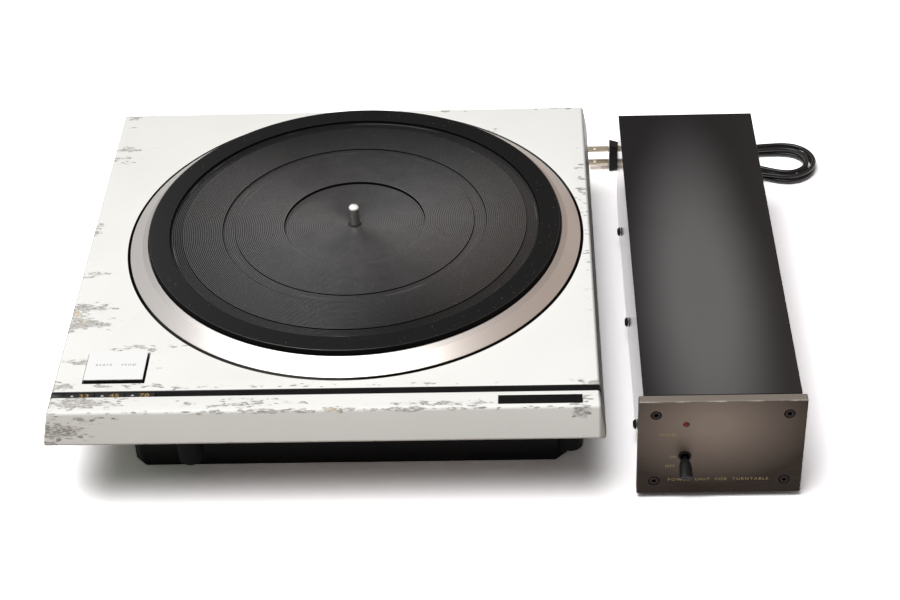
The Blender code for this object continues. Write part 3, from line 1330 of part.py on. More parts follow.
# Tie round the hank's waist
tie_width = 9 * mm
waist_points = [point - hank_middle for point in hank_points
                if abs((point - hank_middle).dot(hank_axis)) < hank_run / run_points]
tie_half = max(abs(point.dot(hank_side)) for point in waist_points) + cord_diameter / 2 + gap
tie_low = floor_clearance + tie_thickness
tie_high = hank_base + layer_height + cord_diameter / 2 + gap
tie_place = Matrix.Translation(hank_middle) @ Matrix.Rotation(hank_tilt, 4, 'Z')
tie_outside = block((-tie_width / 2, -tie_half - tie_thickness, floor_clearance),
                    (tie_width / 2, tie_half + tie_thickness, tie_high + tie_thickness))
tie_inside = block((-tie_width / 2 - overrun, -tie_half, tie_low), (tie_width / 2 + overrun, tie_half, tie_high))
for shape in (tie_outside, tie_inside):
    bmesh.ops.transform(shape, matrix=tie_place, verts=shape.verts)
cord_tie = add_piece("cord_tie", unit, black_plastic, [tie_outside])
cut(cord_tie, "cord_tie_inside", [tie_inside])

# Cord lead, from the grommet's boot down to the hank on the floor, under the plug's tail
lead_spacing = 2.5 * cord_diameter
backwards = Vector((0, 1, 0))
boot_tip = Vector((grommet_x, boot_start + boot_length + gap, grommet_height))
lead_end = hank_points[0] - hank_side * gap
lead_points = curved_route([(boot_tip, backwards), (boot_tip + backwards * cord_diameter, backwards),
                            (lead_end - hank_side * cord_diameter, hank_side), (lead_end, hank_side)],
                           lead_spacing)
add_tube("cord_lead", unit, cord_black, lead_points, cord_diameter / 2, 2)

# Cord tail, from the hank's last strand up over its left folds to the plug
crossing_along_share = 0.4       # of the hank's run, from its middle to where the tail crosses its edge
crossing_across_share = 1        # of the fold's radius, likewise
tail_start = hank_points[-1] - hank_axis * gap
plug_way = Vector((-1, 0, 0))
tail_end = Vector((plug_tip_x + gap, plug_y, plug_z))
tail_crossing = hank_place(-hank_run * crossing_along_share, -fold_radius * crossing_across_share, 0)
tail_crossing.z = plug_z
crossing_way = (plug_way - hank_axis).normalized()
tail_points = curved_route([(tail_start, -hank_axis), (tail_start - hank_axis * cord_diameter, -hank_axis),
                            (tail_crossing, crossing_way),
                            (tail_end - plug_way * cord_diameter, plug_way), (tail_end, plug_way)],
                           lead_spacing)
add_tube("cord_tail", unit, cord_black, tail_points, cord_diameter / 2, 2)
print(f"lead: {chain_length(lead_points) / mm:.0f} mm, tail: {chain_length(tail_points) / mm:.0f} mm")
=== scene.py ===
"""Scene of a direct-drive turntable deck and its power unit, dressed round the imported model."""
import math

import bmesh
import bpy
from mathutils import Euler, Matrix, Vector


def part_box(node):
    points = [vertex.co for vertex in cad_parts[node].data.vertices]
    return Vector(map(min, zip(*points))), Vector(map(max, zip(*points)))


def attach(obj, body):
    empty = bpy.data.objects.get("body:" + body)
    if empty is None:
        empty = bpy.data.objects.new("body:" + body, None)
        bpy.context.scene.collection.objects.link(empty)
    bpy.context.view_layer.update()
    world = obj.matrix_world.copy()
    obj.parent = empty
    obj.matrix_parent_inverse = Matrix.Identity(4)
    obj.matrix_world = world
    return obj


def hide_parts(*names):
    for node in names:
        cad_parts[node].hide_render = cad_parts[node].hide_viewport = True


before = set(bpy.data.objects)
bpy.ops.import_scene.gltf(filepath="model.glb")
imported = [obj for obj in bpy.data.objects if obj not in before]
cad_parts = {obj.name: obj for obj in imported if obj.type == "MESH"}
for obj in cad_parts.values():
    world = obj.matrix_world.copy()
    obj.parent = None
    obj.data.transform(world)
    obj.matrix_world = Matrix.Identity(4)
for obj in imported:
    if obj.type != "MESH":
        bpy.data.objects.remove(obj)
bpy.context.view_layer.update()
scene = bpy.context.scene
mm = 0.001
root = "deck_and_power_unit"

# Camera: a long lens in front of the deck and above it, turned slightly to the left and leaning
# a little to the right, as the photograph was taken.
camera_place = Vector((65.4, -1151.2, 927.3)) * mm
camera_turn = -0.0447
camera_tilt = 0.6584
camera_lean = 0.0436
camera_lens = 80.29
ahead = Vector((math.sin(camera_turn) * math.cos(camera_tilt),
                math.cos(camera_turn) * math.cos(camera_tilt), -math.sin(camera_tilt)))
level = Vector((math.cos(camera_turn), -math.sin(camera_turn), 0))
below = ahead.cross(level)
across = level * math.cos(camera_lean) + below * math.sin(camera_lean)
down = below * math.cos(camera_lean) - level * math.sin(camera_lean)
camera_data = bpy.data.cameras.new("camera")
camera_data.lens = camera_lens
camera = bpy.data.objects.new("camera", camera_data)
camera.matrix_world = Matrix.Translation(camera_place) @ Matrix((across, -down, -ahead)).transposed().to_4x4()
scene.collection.objects.link(camera)
scene.camera = camera


# Mains cord: a smooth black two-core lead, 1.2 m long. It leaves the back of the power unit, is
# folded into a hank of four loops on the floor, and ends in a flat plug that lies on its edge.
cord_diameter = 3.6 * mm
gap = 0.3 * mm
fold_radius = 22.7 * mm
fold_step = 5.9 * mm
hank_run = 83.6 * mm
hank_tilt = math.radians(-12)
hank_base = 2.8 * mm
layer_height = 4.7 * mm
waist_draw = 8.2 * mm
fold_points = 8
run_points = 4
climb_share = 0.7
crossing_along_share = 0.4
crossing_across_share = 1
hank_axis = Vector((math.cos(hank_tilt), math.sin(hank_tilt), 0))
hank_side = Vector((-math.sin(hank_tilt), math.cos(hank_tilt), 0))
tie_low, tie_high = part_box("cord_tie")
hank_middle = (tie_low + tie_high) / 2
hank_middle.z = 0


def node(tree, kind, inputs=None, output=0, **settings):
    """Adds a node, links or sets its inputs, and returns the output asked for."""
    made = tree.nodes.new(kind)
    for name, value in settings.items():
        setattr(made, name, value)
    for name, value in (inputs or {}).items():
        if isinstance(value, bpy.types.NodeSocket):
            tree.links.new(value, made.inputs[name])
        else:
            made.inputs[name].default_value = value
    return made.outputs[output]


def finish(name, colour, roughness, metallic=0.0, **more):
    """A material with one finish. Its node tree and its shader are returned with it."""
    material = bpy.data.materials.new(name)
    material.use_nodes = True
    shader = material.node_tree.nodes["Principled BSDF"]
    shader.inputs["Base Color"].default_value = (*colour, 1)
    shader.inputs["Roughness"].default_value = roughness
    shader.inputs["Metallic"].default_value = metallic
    for socket, value in more.items():
        shader.inputs[socket.replace("_", " ")].default_value = value
    return material, material.node_tree, shader


def noise(tree, scale, stretch=(1, 1, 1), detail=4.0, offset=(0, 0, 0)):
    """Noise in the object's own coordinates, finer along an axis with a larger stretch."""
    place = node(tree, "ShaderNodeTexCoord", output="Object")
    spread = node(tree, "ShaderNodeMapping", {"Vector": place, "Scale": stretch, "Location": offset})
    return node(tree, "ShaderNodeTexNoise", {"Vector": spread, "Scale": scale, "Detail": detail})


def between(tree, value, low, high, first=0.0, last=1.0, ease='LINEAR'):
    """Maps a value's stretch from low to high onto first to last."""
    stretch = {"Value": value, "From Min": low, "From Max": high, "To Min": first, "To Max": last}
    return node(tree, "ShaderNodeMapRange", stretch, interpolation_type=ease)


def mixed(tree, share, first, last):
    """Mixes two colours by a share."""
    made = tree.nodes.new("ShaderNodeMix")
    made.data_type = 'RGBA'
    # Sockets 0, 6 and 7 are the share and the two colours
    for number, value in ((0, share), (6, first), (7, last)):
        if isinstance(value, bpy.types.NodeSocket):
            tree.links.new(value, made.inputs[number])
        else:
            made.inputs[number].default_value = value if number == 0 else (*value, 1)
    return made.outputs[2]


def varied(tree, shader, first, last, rough_first, rough_last, share):
    """Varies a finish's colour and roughness by a share."""
    tree.links.new(mixed(tree, share, first, last), shader.inputs["Base Color"])
    tree.links.new(between(tree, share, 0, 1, rough_first, rough_last), shader.inputs["Roughness"])


def mottled(name, first, last, smooth, rough, scale, stretch=(1, 1, 1), detail=4.0, metallic=0.0, **more):
    """A material whose colour and roughness vary together with one noise."""
    material, tree, shader = finish(name, first, smooth, metallic, **more)
    varied(tree, shader, first, last, smooth, rough, noise(tree, scale, stretch, detail))
    return material


def hank_place(forward, beside, height):
    """A point of the hank from its place along it, beside its middle and above its lowest strand."""
    return hank_middle + hank_axis * forward + hank_side * beside + Vector((0, 0, hank_base + height))


def fold_route(end, steps, layer, first):
    """Points round one fold at an end of the hank."""
    radius = fold_radius - fold_step * steps
    for point in range(first, fold_points + 1):
        angle = math.pi * point / fold_points
        yield hank_place(end * (hank_run / 2 + radius * math.sin(angle)),
                         end * radius * math.cos(angle), layer * layer_height)


def run_route(fold, next_fold):
    """Points along one run between two folds, drawn in at the waist."""
    end, steps, layer = fold
    next_steps, next_layer = next_fold[1:]
    for point in range(1, run_points + 1):
        share = point / (run_points + 1)
        radius = fold_radius - fold_step * (steps + (next_steps - steps) * share)
        climb = min(share / climb_share, 1)
        height = layer + (next_layer - layer) * climb * climb * (3 - 2 * climb)
        yield hank_place(end * hank_run * (1 / 2 - share),
                         -end * (radius - waist_draw * math.sin(math.pi * share) ** 2), height * layer_height)


def curved_route(knots, spacing):
    """Points on a smooth curve through knots, each given with the curve's direction there."""
    route = []
    for (start, start_way), (end, end_way) in zip(knots, knots[1:]):
        reach = (end - start).length / 3
        handles = (start, start + start_way * reach, end - end_way * reach, end)
        count = max(1, round((end - start).length / spacing))
        for step in range(count):
            t = step / count
            weights = ((1 - t) ** 3, 3 * t * (1 - t) ** 2, 3 * t ** 2 * (1 - t), t ** 3)
            route.append(sum((handle * weight for handle, weight in zip(handles, weights)), Vector()))
    return route + [knots[-1][0]]


# Each fold: its end of the hank, how many steps in from the outside, and its layer
folds = ((-1, -0.5, 0), (1, 0, 0), (-1, 0.5, 0), (1, 1, 0), (-1, 1.5, 0), (1, 1, 1), (-1, 0.5, 1), (1, 0, 1))
hank_route = []
for number, fold in enumerate(folds):
    hank_route += fold_route(*fold, fold_points // 2 if number == 0 else 0)
    if number + 1 < len(folds):
        hank_route += run_route(fold, folds[number + 1])
boot_low, boot_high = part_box("cord_grommet")
plug_low, plug_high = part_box("mains_plug")
backwards = Vector((0, 1, 0))
plug_way = Vector((-1, 0, 0))
boot_tip = Vector(((boot_low.x + boot_high.x) / 2, boot_high.y + gap, (boot_low.z + boot_high.z) / 2))
lead_end = hank_route[0] - hank_side * (cord_diameter + gap)
lead_route = curved_route([(boot_tip, backwards), (boot_tip + backwards * cord_diameter, backwards),
                           (lead_end - hank_side * cord_diameter, hank_side), (lead_end, hank_side)],
                          2.5 * cord_diameter)
tail_start = hank_route[-1] - hank_axis * (2 * cord_diameter + gap)
tail_end = Vector((plug_high.x + gap, (plug_low.y + plug_high.y) / 2, (plug_low.z + plug_high.z) / 2))
tail_crossing = hank_place(-hank_run * crossing_along_share, -fold_radius * crossing_across_share, 0)
tail_crossing.z = tail_end.z
tail_route = curved_route([(tail_start, -hank_axis), (tail_start - hank_axis * cord_diameter, -hank_axis),
                           (tail_crossing, (plug_way - hank_axis).normalized()),
                           (tail_end - plug_way * cord_diameter, plug_way), (tail_end, plug_way)],
                          2.5 * cord_diameter)
cord_route = lead_route + hank_route + tail_route
cord_curve = bpy.data.curves.new("mains_cord", 'CURVE')
cord_curve.dimensions = '3D'
cord_curve.bevel_depth = cord_diameter / 2
cord_curve.bevel_resolution = 4
cord_curve.resolution_u = 5
cord_curve.use_fill_caps = True
cord_line = cord_curve.splines.new('BEZIER')
cord_line.bezier_points.add(len(cord_route) - 1)
for spot, point in zip(cord_line.bezier_points, cord_route):
    spot.co = point
    spot.handle_left_type = 'AUTO'
    spot.handle_right_type = 'AUTO'
cord = bpy.data.objects.new("mains_cord", cord_curve)
scene.collection.objects.link(cord)
cord_sheath = mottled("cord sheath", (0.004, 0.004, 0.0045), (0.011, 0.0105, 0.0105), 0.24, 0.36, 240,
                      detail=3.0, Specular_IOR_Level=0.4)
cord_curve.materials.append(cord_sheath)
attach(cord, root)
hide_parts("cord_lead", "cord_hank", "cord_tail")


# Floor, light and air: a pale seamless floor and a wide soft lamp overhead, to the front and the
# left. The metal reflects a board on each side of the set, with a dark gap between them. The left
# one is white, and the right one is warmer and brighter low down.
floor_span = 8.0
floor_colour = (0.25, 0.195, 0.145)
floor_seen_white = (2.06, 2.01, 2.04)
lamp_width = 1.4
lamp_depth = 1.05
lamp_power = 27.0
lamp_place = Vector((-0.3, -0.28, 1.53))
air_colour = (1, 0.97, 0.94)
air_strength = 0.13
gap_strength = 0.03
left_board = (0.9, 0.9, 0.9)
right_board = (0.66, 0.56, 0.5)
low_right_board = (0.85, 0.74, 0.67)
# Where each board starts and is whole, as the reflected ray's x; the last is the right one low down
board_edges = ((-0.17, -0.32), (0.08, 0.24), (0.38, 0.5))
low_board_edge = (0.45, 0.3)
lamp_aim = Vector((0.02, 0, 0))


def maths(tree, way, first, second=0.0):
    """One step of arithmetic on two numbers, or on the first alone."""
    return node(tree, "ShaderNodeMath", {0: first, 1: second}, operation=way)


floor_shape = bmesh.new()
bmesh.ops.create_grid(floor_shape, x_segments=1, y_segments=1, size=floor_span / 2)
floor_mesh = bpy.data.meshes.new("floor")
floor_shape.to_mesh(floor_mesh)
floor_shape.free()
floor = bpy.data.objects.new("floor", floor_mesh)
scene.collection.objects.link(floor)
floor_paper, tree, shader = finish("floor paper", floor_colour, 0.7, Specular_IOR_Level=0.1)
path = tree.nodes.new("ShaderNodeLightPath")
seen = maths(tree, 'MAXIMUM', path.outputs["Is Camera Ray"], path.outputs["Is Glossy Ray"])
seen = maths(tree, 'MAXIMUM', seen, path.outputs["Is Transmission Ray"])
tree.links.new(mixed(tree, seen, floor_colour, floor_seen_white), shader.inputs["Base Color"])
floor_mesh.materials.append(floor_paper)
lamp_data = bpy.data.lights.new("soft_lamp", 'AREA')
lamp_data.shape = 'RECTANGLE'
lamp_data.size = lamp_width
lamp_data.size_y = lamp_depth
lamp_data.energy = lamp_power
lamp = bpy.data.objects.new("soft_lamp", lamp_data)
lamp.location = lamp_place
lamp.rotation_euler = (lamp_aim - lamp_place).to_track_quat('-Z', 'Y').to_euler()
scene.collection.objects.link(lamp)
world = bpy.data.worlds.new("surround")
scene.world = world
world.use_nodes = True
air = world.node_tree
background = air.nodes["Background"]
path = air.nodes.new("ShaderNodeLightPath")
direction = air.nodes.new("ShaderNodeSeparateXYZ")
air.links.new(node(air, "ShaderNodeTexCoord", output="Generated"), direction.inputs[0])
boards = [between(air, direction.outputs["X"], *edge, ease='SMOOTHSTEP') for edge in board_edges]
low_down = maths(air, 'MULTIPLY', between(air, direction.outputs["Z"], *low_board_edge), boards[2])
mirrored = mixed(air, boards[0], (gap_strength,) * 3, left_board)
mirrored = mixed(air, boards[1], mirrored, right_board)
mirrored = mixed(air, low_down, mirrored, low_right_board)
plain_air = tuple(air_strength * share for share in air_colour)
lit = mixed(air, path.outputs["Is Glossy Ray"], plain_air, mirrored)
air.links.new(mixed(air, path.outputs["Is Camera Ray"], lit, (1, 1, 1)), background.inputs["Color"])
scene.view_settings.view_transform = 'Standard'


# Mains plug: a flat moulded body and two brass blades with a hole near each tip. The tie is a
# loop of flat black plastic round the hank's waist.
merge_reach = 0.001 * mm


def add_shape(name, mesh, material, slot, *stands_for, body=root):
    """Adds a finished mesh as a piece that rides on a body and stands for CAD nodes."""
    piece = bpy.data.objects.new(name, mesh)
    scene.collection.objects.link(piece)
    mesh.materials.clear()
    mesh.materials.append(material)
    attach(piece, body)
    if stands_for:
        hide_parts(*stands_for)
    even = piece.modifiers.new("flat faces stay flat", 'WEIGHTED_NORMAL')
    even.keep_sharp = True
    return piece


def softened(cad_node, edge, steps=2, sharp=40):
    """A copy of a CAD node's mesh with its faces joined and its sharp edges rounded."""
    shape = bmesh.new()
    shape.from_mesh(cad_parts[cad_node].data)
    bmesh.ops.remove_doubles(shape, verts=shape.verts, dist=merge_reach)
    bmesh.ops.dissolve_limit(shape, angle_limit=math.radians(0.5), verts=shape.verts, edges=shape.edges)
    if edge:
        sharp_edges = [line for line in shape.edges
                       if len(line.link_faces) == 2 and line.calc_face_angle() > math.radians(sharp)]
        bmesh.ops.bevel(shape, geom=sharp_edges, offset=edge, segments=steps, profile=0.5,
                        affect='EDGES', clamp_overlap=True)
    mesh = bpy.data.meshes.new(cad_node + "_softened")
    shape.to_mesh(mesh)
    shape.free()
    mesh.shade_smooth()
    mesh.set_sharp_from_angle(angle=math.radians(sharp))
    return mesh


def give(material, *cad_nodes):
    """Gives CAD nodes that stay as they are a finer material."""
    for name in cad_nodes:
        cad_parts[name].data.materials.clear()
        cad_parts[name].data.materials.append(material)


def raised(tree, shader, height, distance, strength=1.0):
    """Gives a shader small relief from a height."""
    relief = node(tree, "ShaderNodeBump", {"Height": height, "Distance": distance, "Strength": strength})
    tree.links.new(relief, shader.inputs["Normal"])


def grained(material, scale, depth, strength, detail=2.0):
    """Gives a material a fine moulded or cast grain."""
    tree = material.node_tree
    raised(tree, tree.nodes["Principled BSDF"], noise(tree, scale, detail=detail), depth, strength)


black_moulding = mottled("black moulding", (0.006, 0.006, 0.0065), (0.014, 0.013, 0.013), 0.34, 0.5, 350,
                         detail=5.0, Specular_IOR_Level=0.14)
grained(black_moulding, 2600, 0.02 * mm, 0.4)
brass_blade = mottled("brass blade", (0.78, 0.7, 0.53), (0.6, 0.52, 0.38), 0.28, 0.5, 260, (1, 4, 4),
                      metallic=0.6)
plug = add_shape("plug_body", softened("mains_plug", 0.6 * mm, 3), black_moulding, "black_plastic",
                 "mains_plug")
blades = [add_shape(name + "_shown", softened(name, 0.15 * mm, 2), brass_blade, "brass", name)
          for name in ("lower_plug_blade", "upper_plug_blade")]
tie = add_shape("cord_tie_shown", softened("cord_tie", 0.2 * mm, 2, 30), black_moulding, "black_plastic",
                "cord_tie")


# Deck frame: a die casting in off-white paint, worn through in streaks and patches at its left
# edge, round its front left corner, beside the groove and the button, and chipped along its edges.
# Its right skirt is painted darker as painted shade, the well is painted black as painted shade, and
# the paint is painted lighter towards the right as painted light.
paint_light = (0.9, 0.895, 0.865)
paint_dull = (0.81, 0.8, 0.765)
worn_light = (0.64, 0.62, 0.585)
worn_dark = (0.25, 0.235, 0.22)
right_skirt_painted_shade = (0.36, 0.345, 0.325)
rust_light = (0.66, 0.5, 0.3)
rust_place = Vector((-241.5, -65.5, 80)) * mm
rust_reach = (5 * mm, 1 * mm)
# Where each dark tone starts and is whole: the painted shade on the right skirt, the painted shade in the
# well, and the black in the groove
right_skirt = (114 * mm, 116 * mm)
well_edge = (164.25 * mm, 164.12 * mm)
groove_edge = (3.35 * mm, 3.2 * mm)
groove_rim = (79.95 * mm, 79.85 * mm)
# How far out a region's wear starts to fade and is gone, in shares of its half sizes
wear_fade = (0.3, 1.25)
least_wear = -0.03
# Each worn region: its middle, its half sizes and how much of the paint is gone there
worn_regions = (
    ((-240, 185, 80), (20, 10, 20), 0.13),
    ((-236, 168, 80), (22, 6, 20), 0.13),
    ((-236, 139, 80), (30, 7, 20), 0.2),
    ((-240, 124, 80), (20, 9, 20), 0.17),
    ((-243, 34, 80), (8, 9, 20), 0.24),
    ((-240, -22, 80), (20, 7, 20), 0.22),
    ((-240, -59, 80), (27, 10, 20), 0.27),
    ((-238, -77, 80), (32, 11, 20), 0.27),
    ((-241.5, -65.5, 80), (5, 5, 6), 0.34),
    ((-232, -119, 80), (16, 6, 20), 0.19),
    ((-188, -104, 80), (26, 7, 10), 0.19),
    ((-176, -124, 80), (16, 6, 10), 0.15),
    ((-198, -144, 80), (52, 6, 10), 0.17),
    ((-238, -144, 80), (16, 8, 10), 0.19),
    ((-150, -145, 80), (50, 5, 12), 0.15),
    ((-222, -161, 80), (44, 9, 12), 0.26),
    ((-238, -176, 69), (26, 8, 8), 0.33),
    ((-224, -176, 76), (30, 8, 6), 0.26),
    ((-120, -163, 80), (60, 7, 8), 0.17),
    ((18, -166, 80), (48, 6, 8), 0.18),
    ((103, -168, 80), (12, 16, 12), 0.23),
    ((108, -146, 80), (14, 8, 8), 0.17),
    ((-60, -146, 80), (130, 4, 8), 0.12),
    ((112, 40, 80), (8, 150, 5), 0.125),
    ((18, 189, 80), (24, 6, 8), 0.2),
    ((97, 189, 80), (34, 6, 8), 0.2),
    ((42, 150, 80), (20, 14, 8), 0.16),
    ((-100, -178, 57), (190, 9, 3), 0.23),
    ((-60, -170.2, 79.4), (230, 2.4, 2.4), 0.23),
    ((-247, -178, 58), (9, 10, 5), 0.38),
)


def away_from(tree, middle, reach=(1, 1, 1)):
    """The distance of the object's own place from a middle, in shares of a reach along each axis."""
    place = node(tree, "ShaderNodeTexCoord", output="Object")
    away = node(tree, "ShaderNodeVectorMath", {0: place, 1: middle}, operation='SUBTRACT')
    away = node(tree, "ShaderNodeVectorMath", {0: away, 1: reach}, operation='DIVIDE')
    return node(tree, "ShaderNodeVectorMath", {0: away}, "Value", operation='LENGTH')


def along(tree, axis):
    """The object's own place along one axis."""
    return node(tree, "ShaderNodeSeparateXYZ", {0: node(tree, "ShaderNodeTexCoord", output="Object")}, axis)


worn_and_shaded_paint, tree, shader = finish("worn and shaded paint", paint_light, 0.45, Specular_IOR_Level=0.4)
wear = least_wear
for middle, reach, amount in worn_regions:
    away = away_from(tree, Vector(middle) * mm, Vector(reach) * mm)
    wear = maths(tree, 'MAXIMUM', wear, between(tree, away, *wear_fade, amount - 0.015, least_wear))
streaks = noise(tree, 1, (170, 480, 480), 9.0)
patches = noise(tree, 1, (60, 140, 140), 6.0, (3, 1, 0))
islands = between(tree, noise(tree, 1, (420, 1000, 1000), 5.0, (1, 4, 2)), 0.36, 0.5)
worn = node(tree, "ShaderNodeMix", {0: 0.45, 2: streaks, 3: patches})
worn = maths(tree, 'ADD', worn, wear)
thin = between(tree, worn, 0.62, 0.69)
bare = maths(tree, 'MULTIPLY', between(tree, worn, 0.685, 0.715), islands)
edge = maths(tree, 'SUBTRACT', worn, 0.7)
edge = between(tree, maths(tree, 'ABSOLUTE', edge), 0.028, 0.006)
# The paint is painted lighter towards the right and darker towards the left: painted light, added to the
# random clouding
right_painted_light = between(tree, along(tree, "X"), -0.2, 0.1, 0.15, -0.45)
clouding_and_painted_light = maths(tree, 'ADD', noise(tree, 14, detail=5.0), right_painted_light)
paint_tone_light_and_shade = mixed(tree, clouding_and_painted_light, paint_light, paint_dull)
# The right skirt is painted darker: painted shade
paint_tone_light_and_shade = mixed(tree, between(tree, along(tree, "X"), *right_skirt), paint_tone_light_and_shade, right_skirt_painted_shade)
grain = between(tree, noise(tree, 1, (220, 1900, 1900), 6.0), 0.42, 0.6)
worn_tone = mixed(tree, grain, worn_dark, worn_light)
rusty = between(tree, noise(tree, 1, (60, 90, 90), 2.0, (5, 2, 1)), 0.6, 0.68, 0, 0.5)
rust_spot = between(tree, away_from(tree, rust_place), *rust_reach, 0, 0.65)
rusty = maths(tree, 'MAXIMUM', rusty, rust_spot)
worn_tone = mixed(tree, rusty, worn_tone, rust_light)
edge = maths(tree, 'MULTIPLY', edge, between(tree, streaks, 0.45, 0.62, 0, 0.85))
scuffed = mixed(tree, maths(tree, 'MULTIPLY', thin, 0.3), paint_tone_light_and_shade, worn_tone)
painted = mixed(tree, edge, mixed(tree, bare, scuffed, worn_tone), worn_dark)
# The well round the platter is painted black as painted shade in the gap, and the groove for the keys is
# black below its rim
platter_low, platter_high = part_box("platter")
platter_axis = (platter_low + platter_high) / 2
platter_axis.z = 0


def turned_radius(tree):
    """How far the object's own place lies from the platter's axis."""
    off_x = maths(tree, 'SUBTRACT', along(tree, "X"), platter_axis.x)
    off_y = maths(tree, 'SUBTRACT', along(tree, "Y"), platter_axis.y)
    off_axis = node(tree, "ShaderNodeCombineXYZ", {"X": off_x, "Y": off_y})
    return node(tree, "ShaderNodeVectorMath", {0: off_axis}, "Value", operation='LENGTH')


in_well = between(tree, turned_radius(tree), *well_edge)
groove_low, groove_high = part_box("control_strip")
groove_middle = (groove_low.y + groove_high.y) / 2
across_groove = maths(tree, 'ABSOLUTE', maths(tree, 'SUBTRACT', along(tree, "Y"), groove_middle))
in_groove = between(tree, across_groove, *groove_edge)
under_top = between(tree, along(tree, "Z"), *groove_rim)
well_shade_and_groove_black = maths(tree, 'MAXIMUM', in_well, maths(tree, 'MULTIPLY', in_groove, under_top))
tree.links.new(mixed(tree, well_shade_and_groove_black, painted, (0.006, 0.006, 0.006)), shader.inputs["Base Color"])
tree.links.new(between(tree, bare, 0, 1, 0.42, 0.6), shader.inputs["Roughness"])
raised(tree, shader, maths(tree, 'SUBTRACT', 1.0, bare), 0.05 * mm)
add_shape("frame_casting", softened("deck_frame", 0), worn_and_shaded_paint, "off_white_paint", "deck_frame")


# Control strip and keys: dark plastic in the groove, with a white pointer and an amber speed on
# each key. A plain dark plate lies in the front lip.
dark_trim = mottled("dark trim", (0.005, 0.005, 0.005), (0.011, 0.0105, 0.0105), 0.42, 0.6, 300, (0.4, 1, 1),
                    Specular_IOR_Level=0.06)
key_cap = mottled("key cap", (0.015, 0.015, 0.016), (0.032, 0.031, 0.031), 0.4, 0.55, 300,
                  Specular_IOR_Level=0.12)
amber_ink = mottled("amber ink", (0.46, 0.28, 0.08), (0.28, 0.17, 0.05), 0.45, 0.6, 900)
white_ink = mottled("white ink", (0.55, 0.55, 0.54), (0.38, 0.38, 0.37), 0.45, 0.6, 900)
print_thickness = 0.04 * mm
speed_size = (6.4 * mm, 3.2 * mm)
speed_shift = Vector((3, 0, 0)) * mm
pointer_size = (1.5 * mm, 1.2 * mm)
pointer_shift = Vector((-4.8, -0.3, 0)) * mm


def add_lettering(name, words, width, height, centre, turn, ink, slot, body=root, spacing=1.0):
    """Printed words as a thin solid, stretched to their width and height, and set on a surface."""
    curve = bpy.data.curves.new(name, 'FONT')
    curve.body = words
    curve.extrude = 0.01
    curve.space_character = spacing
    curve.resolution_u = 4
    holder = bpy.data.objects.new(name + "_words", curve)
    scene.collection.objects.link(holder)
    bpy.context.view_layer.update()
    mesh = bpy.data.meshes.new_from_object(holder.evaluated_get(bpy.context.evaluated_depsgraph_get()))
    bpy.data.objects.remove(holder)
    low = Vector([min(corner.co[axis] for corner in mesh.vertices) for axis in range(3)])
    high = Vector([max(corner.co[axis] for corner in mesh.vertices) for axis in range(3)])
    size = high - low
    mesh.transform(Matrix.Translation(centre) @ turn
                   @ Matrix.Diagonal((width / size.x, height / size.y, print_thickness / size.z, 1))
                   @ Matrix.Translation(-(low + high) / 2))
    return add_shape(name, mesh, ink, slot, body=body)


flat = Matrix.Identity(4)
add_shape("control_strip_shown", softened("control_strip", 0.1 * mm), dark_trim, "dark_trim", "control_strip")
add_shape("name_plate_shown", softened("name_plate", 0.1 * mm), dark_trim, "dark_trim", "name_plate")
for speed in ("33", "45", "78"):
    key = "speed_key_" + speed
    add_shape("key_cap_" + speed, softened(key, 0.25 * mm, 2), key_cap, "dark_trim", key, body=key)
    key_low, key_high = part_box(key)
    key_middle = (key_low + key_high) / 2
    key_middle.z = key_high.z + print_thickness / 2
    add_lettering("speed_" + speed, speed, *speed_size, key_middle + speed_shift, flat, amber_ink,
                  "dark_trim", key)
    pointer = bmesh.new()
    bmesh.ops.create_cone(pointer, cap_ends=True, segments=3, radius1=1, radius2=1, depth=1)
    pointer_mesh = bpy.data.meshes.new("pointer_" + speed)
    pointer.to_mesh(pointer_mesh)
    pointer.free()
    pointer_mesh.transform(Matrix.Translation(key_middle + pointer_shift)
                           @ Matrix.Diagonal((*pointer_size, print_thickness, 1)))
    add_shape("pointer_" + speed, pointer_mesh, white_ink, "dark_trim", body=key)


# Start and stop button: a black body in a hole of the frame, with a bright plate on top.
bright_plate = mottled("bright plate", (0.92, 0.92, 0.915), (0.86, 0.86, 0.855), 0.36, 0.46, 120, (1, 30, 1),
                       metallic=0.1)
grey_ink = mottled("grey ink", (0.2, 0.2, 0.2), (0.3, 0.3, 0.3), 0.45, 0.6, 900)
add_shape("button_body", softened("start_button", 0.3 * mm), black_moulding, "black_plastic", "start_button",
          body="start_button")
add_shape("button_plate", softened("start_button_cap", 0.15 * mm), bright_plate, "bright_steel",
          "start_button_cap", body="start_button")
cap_low, cap_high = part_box("start_button_cap")
cap_middle = (cap_low + cap_high) / 2
cap_middle.z = cap_high.z + print_thickness / 4
cap_words_size = (27 * mm, 2.6 * mm)
add_lettering("start_stop", "start · stop", *cap_words_size, cap_middle, flat, grey_ink, "bright_steel",
              "start_button", 1.2)


# Platter: turned aluminium with fine tool marks, a bevelled ring round the mat and a deep rim.
turned_sides = 192
# Where the bevelled ring's darker tone, a painted shade, starts and is whole, at its inner and its outer edge
bevel_start = (148.2 * mm, 148.4 * mm)
bevel_end = (152.8 * mm, 152.6 * mm)


def piece_tree(name, **inputs):
    """An empty geometry tree with named inputs and one output, the piece."""
    tree = bpy.data.node_groups.new(name, 'GeometryNodeTree')
    for label, kind in inputs.items():
        tree.interface.new_socket(label.replace("_", " "), in_out='INPUT', socket_type="NodeSocket" + kind)
    tree.interface.new_socket("Piece", in_out='OUTPUT', socket_type='NodeSocketGeometry')
    return tree, tree.nodes.new("NodeGroupInput").outputs


def dressed_tree(tree, shape, material):
    """Ends a geometry tree: every copy is made real and takes its finish."""
    real = node(tree, "GeometryNodeRealizeInstances", {"Geometry": shape})
    dressed = node(tree, "GeometryNodeSetMaterial", {"Geometry": real, "Material": material})
    tree.links.new(dressed, tree.nodes.new("NodeGroupOutput").inputs["Piece"])
    return tree


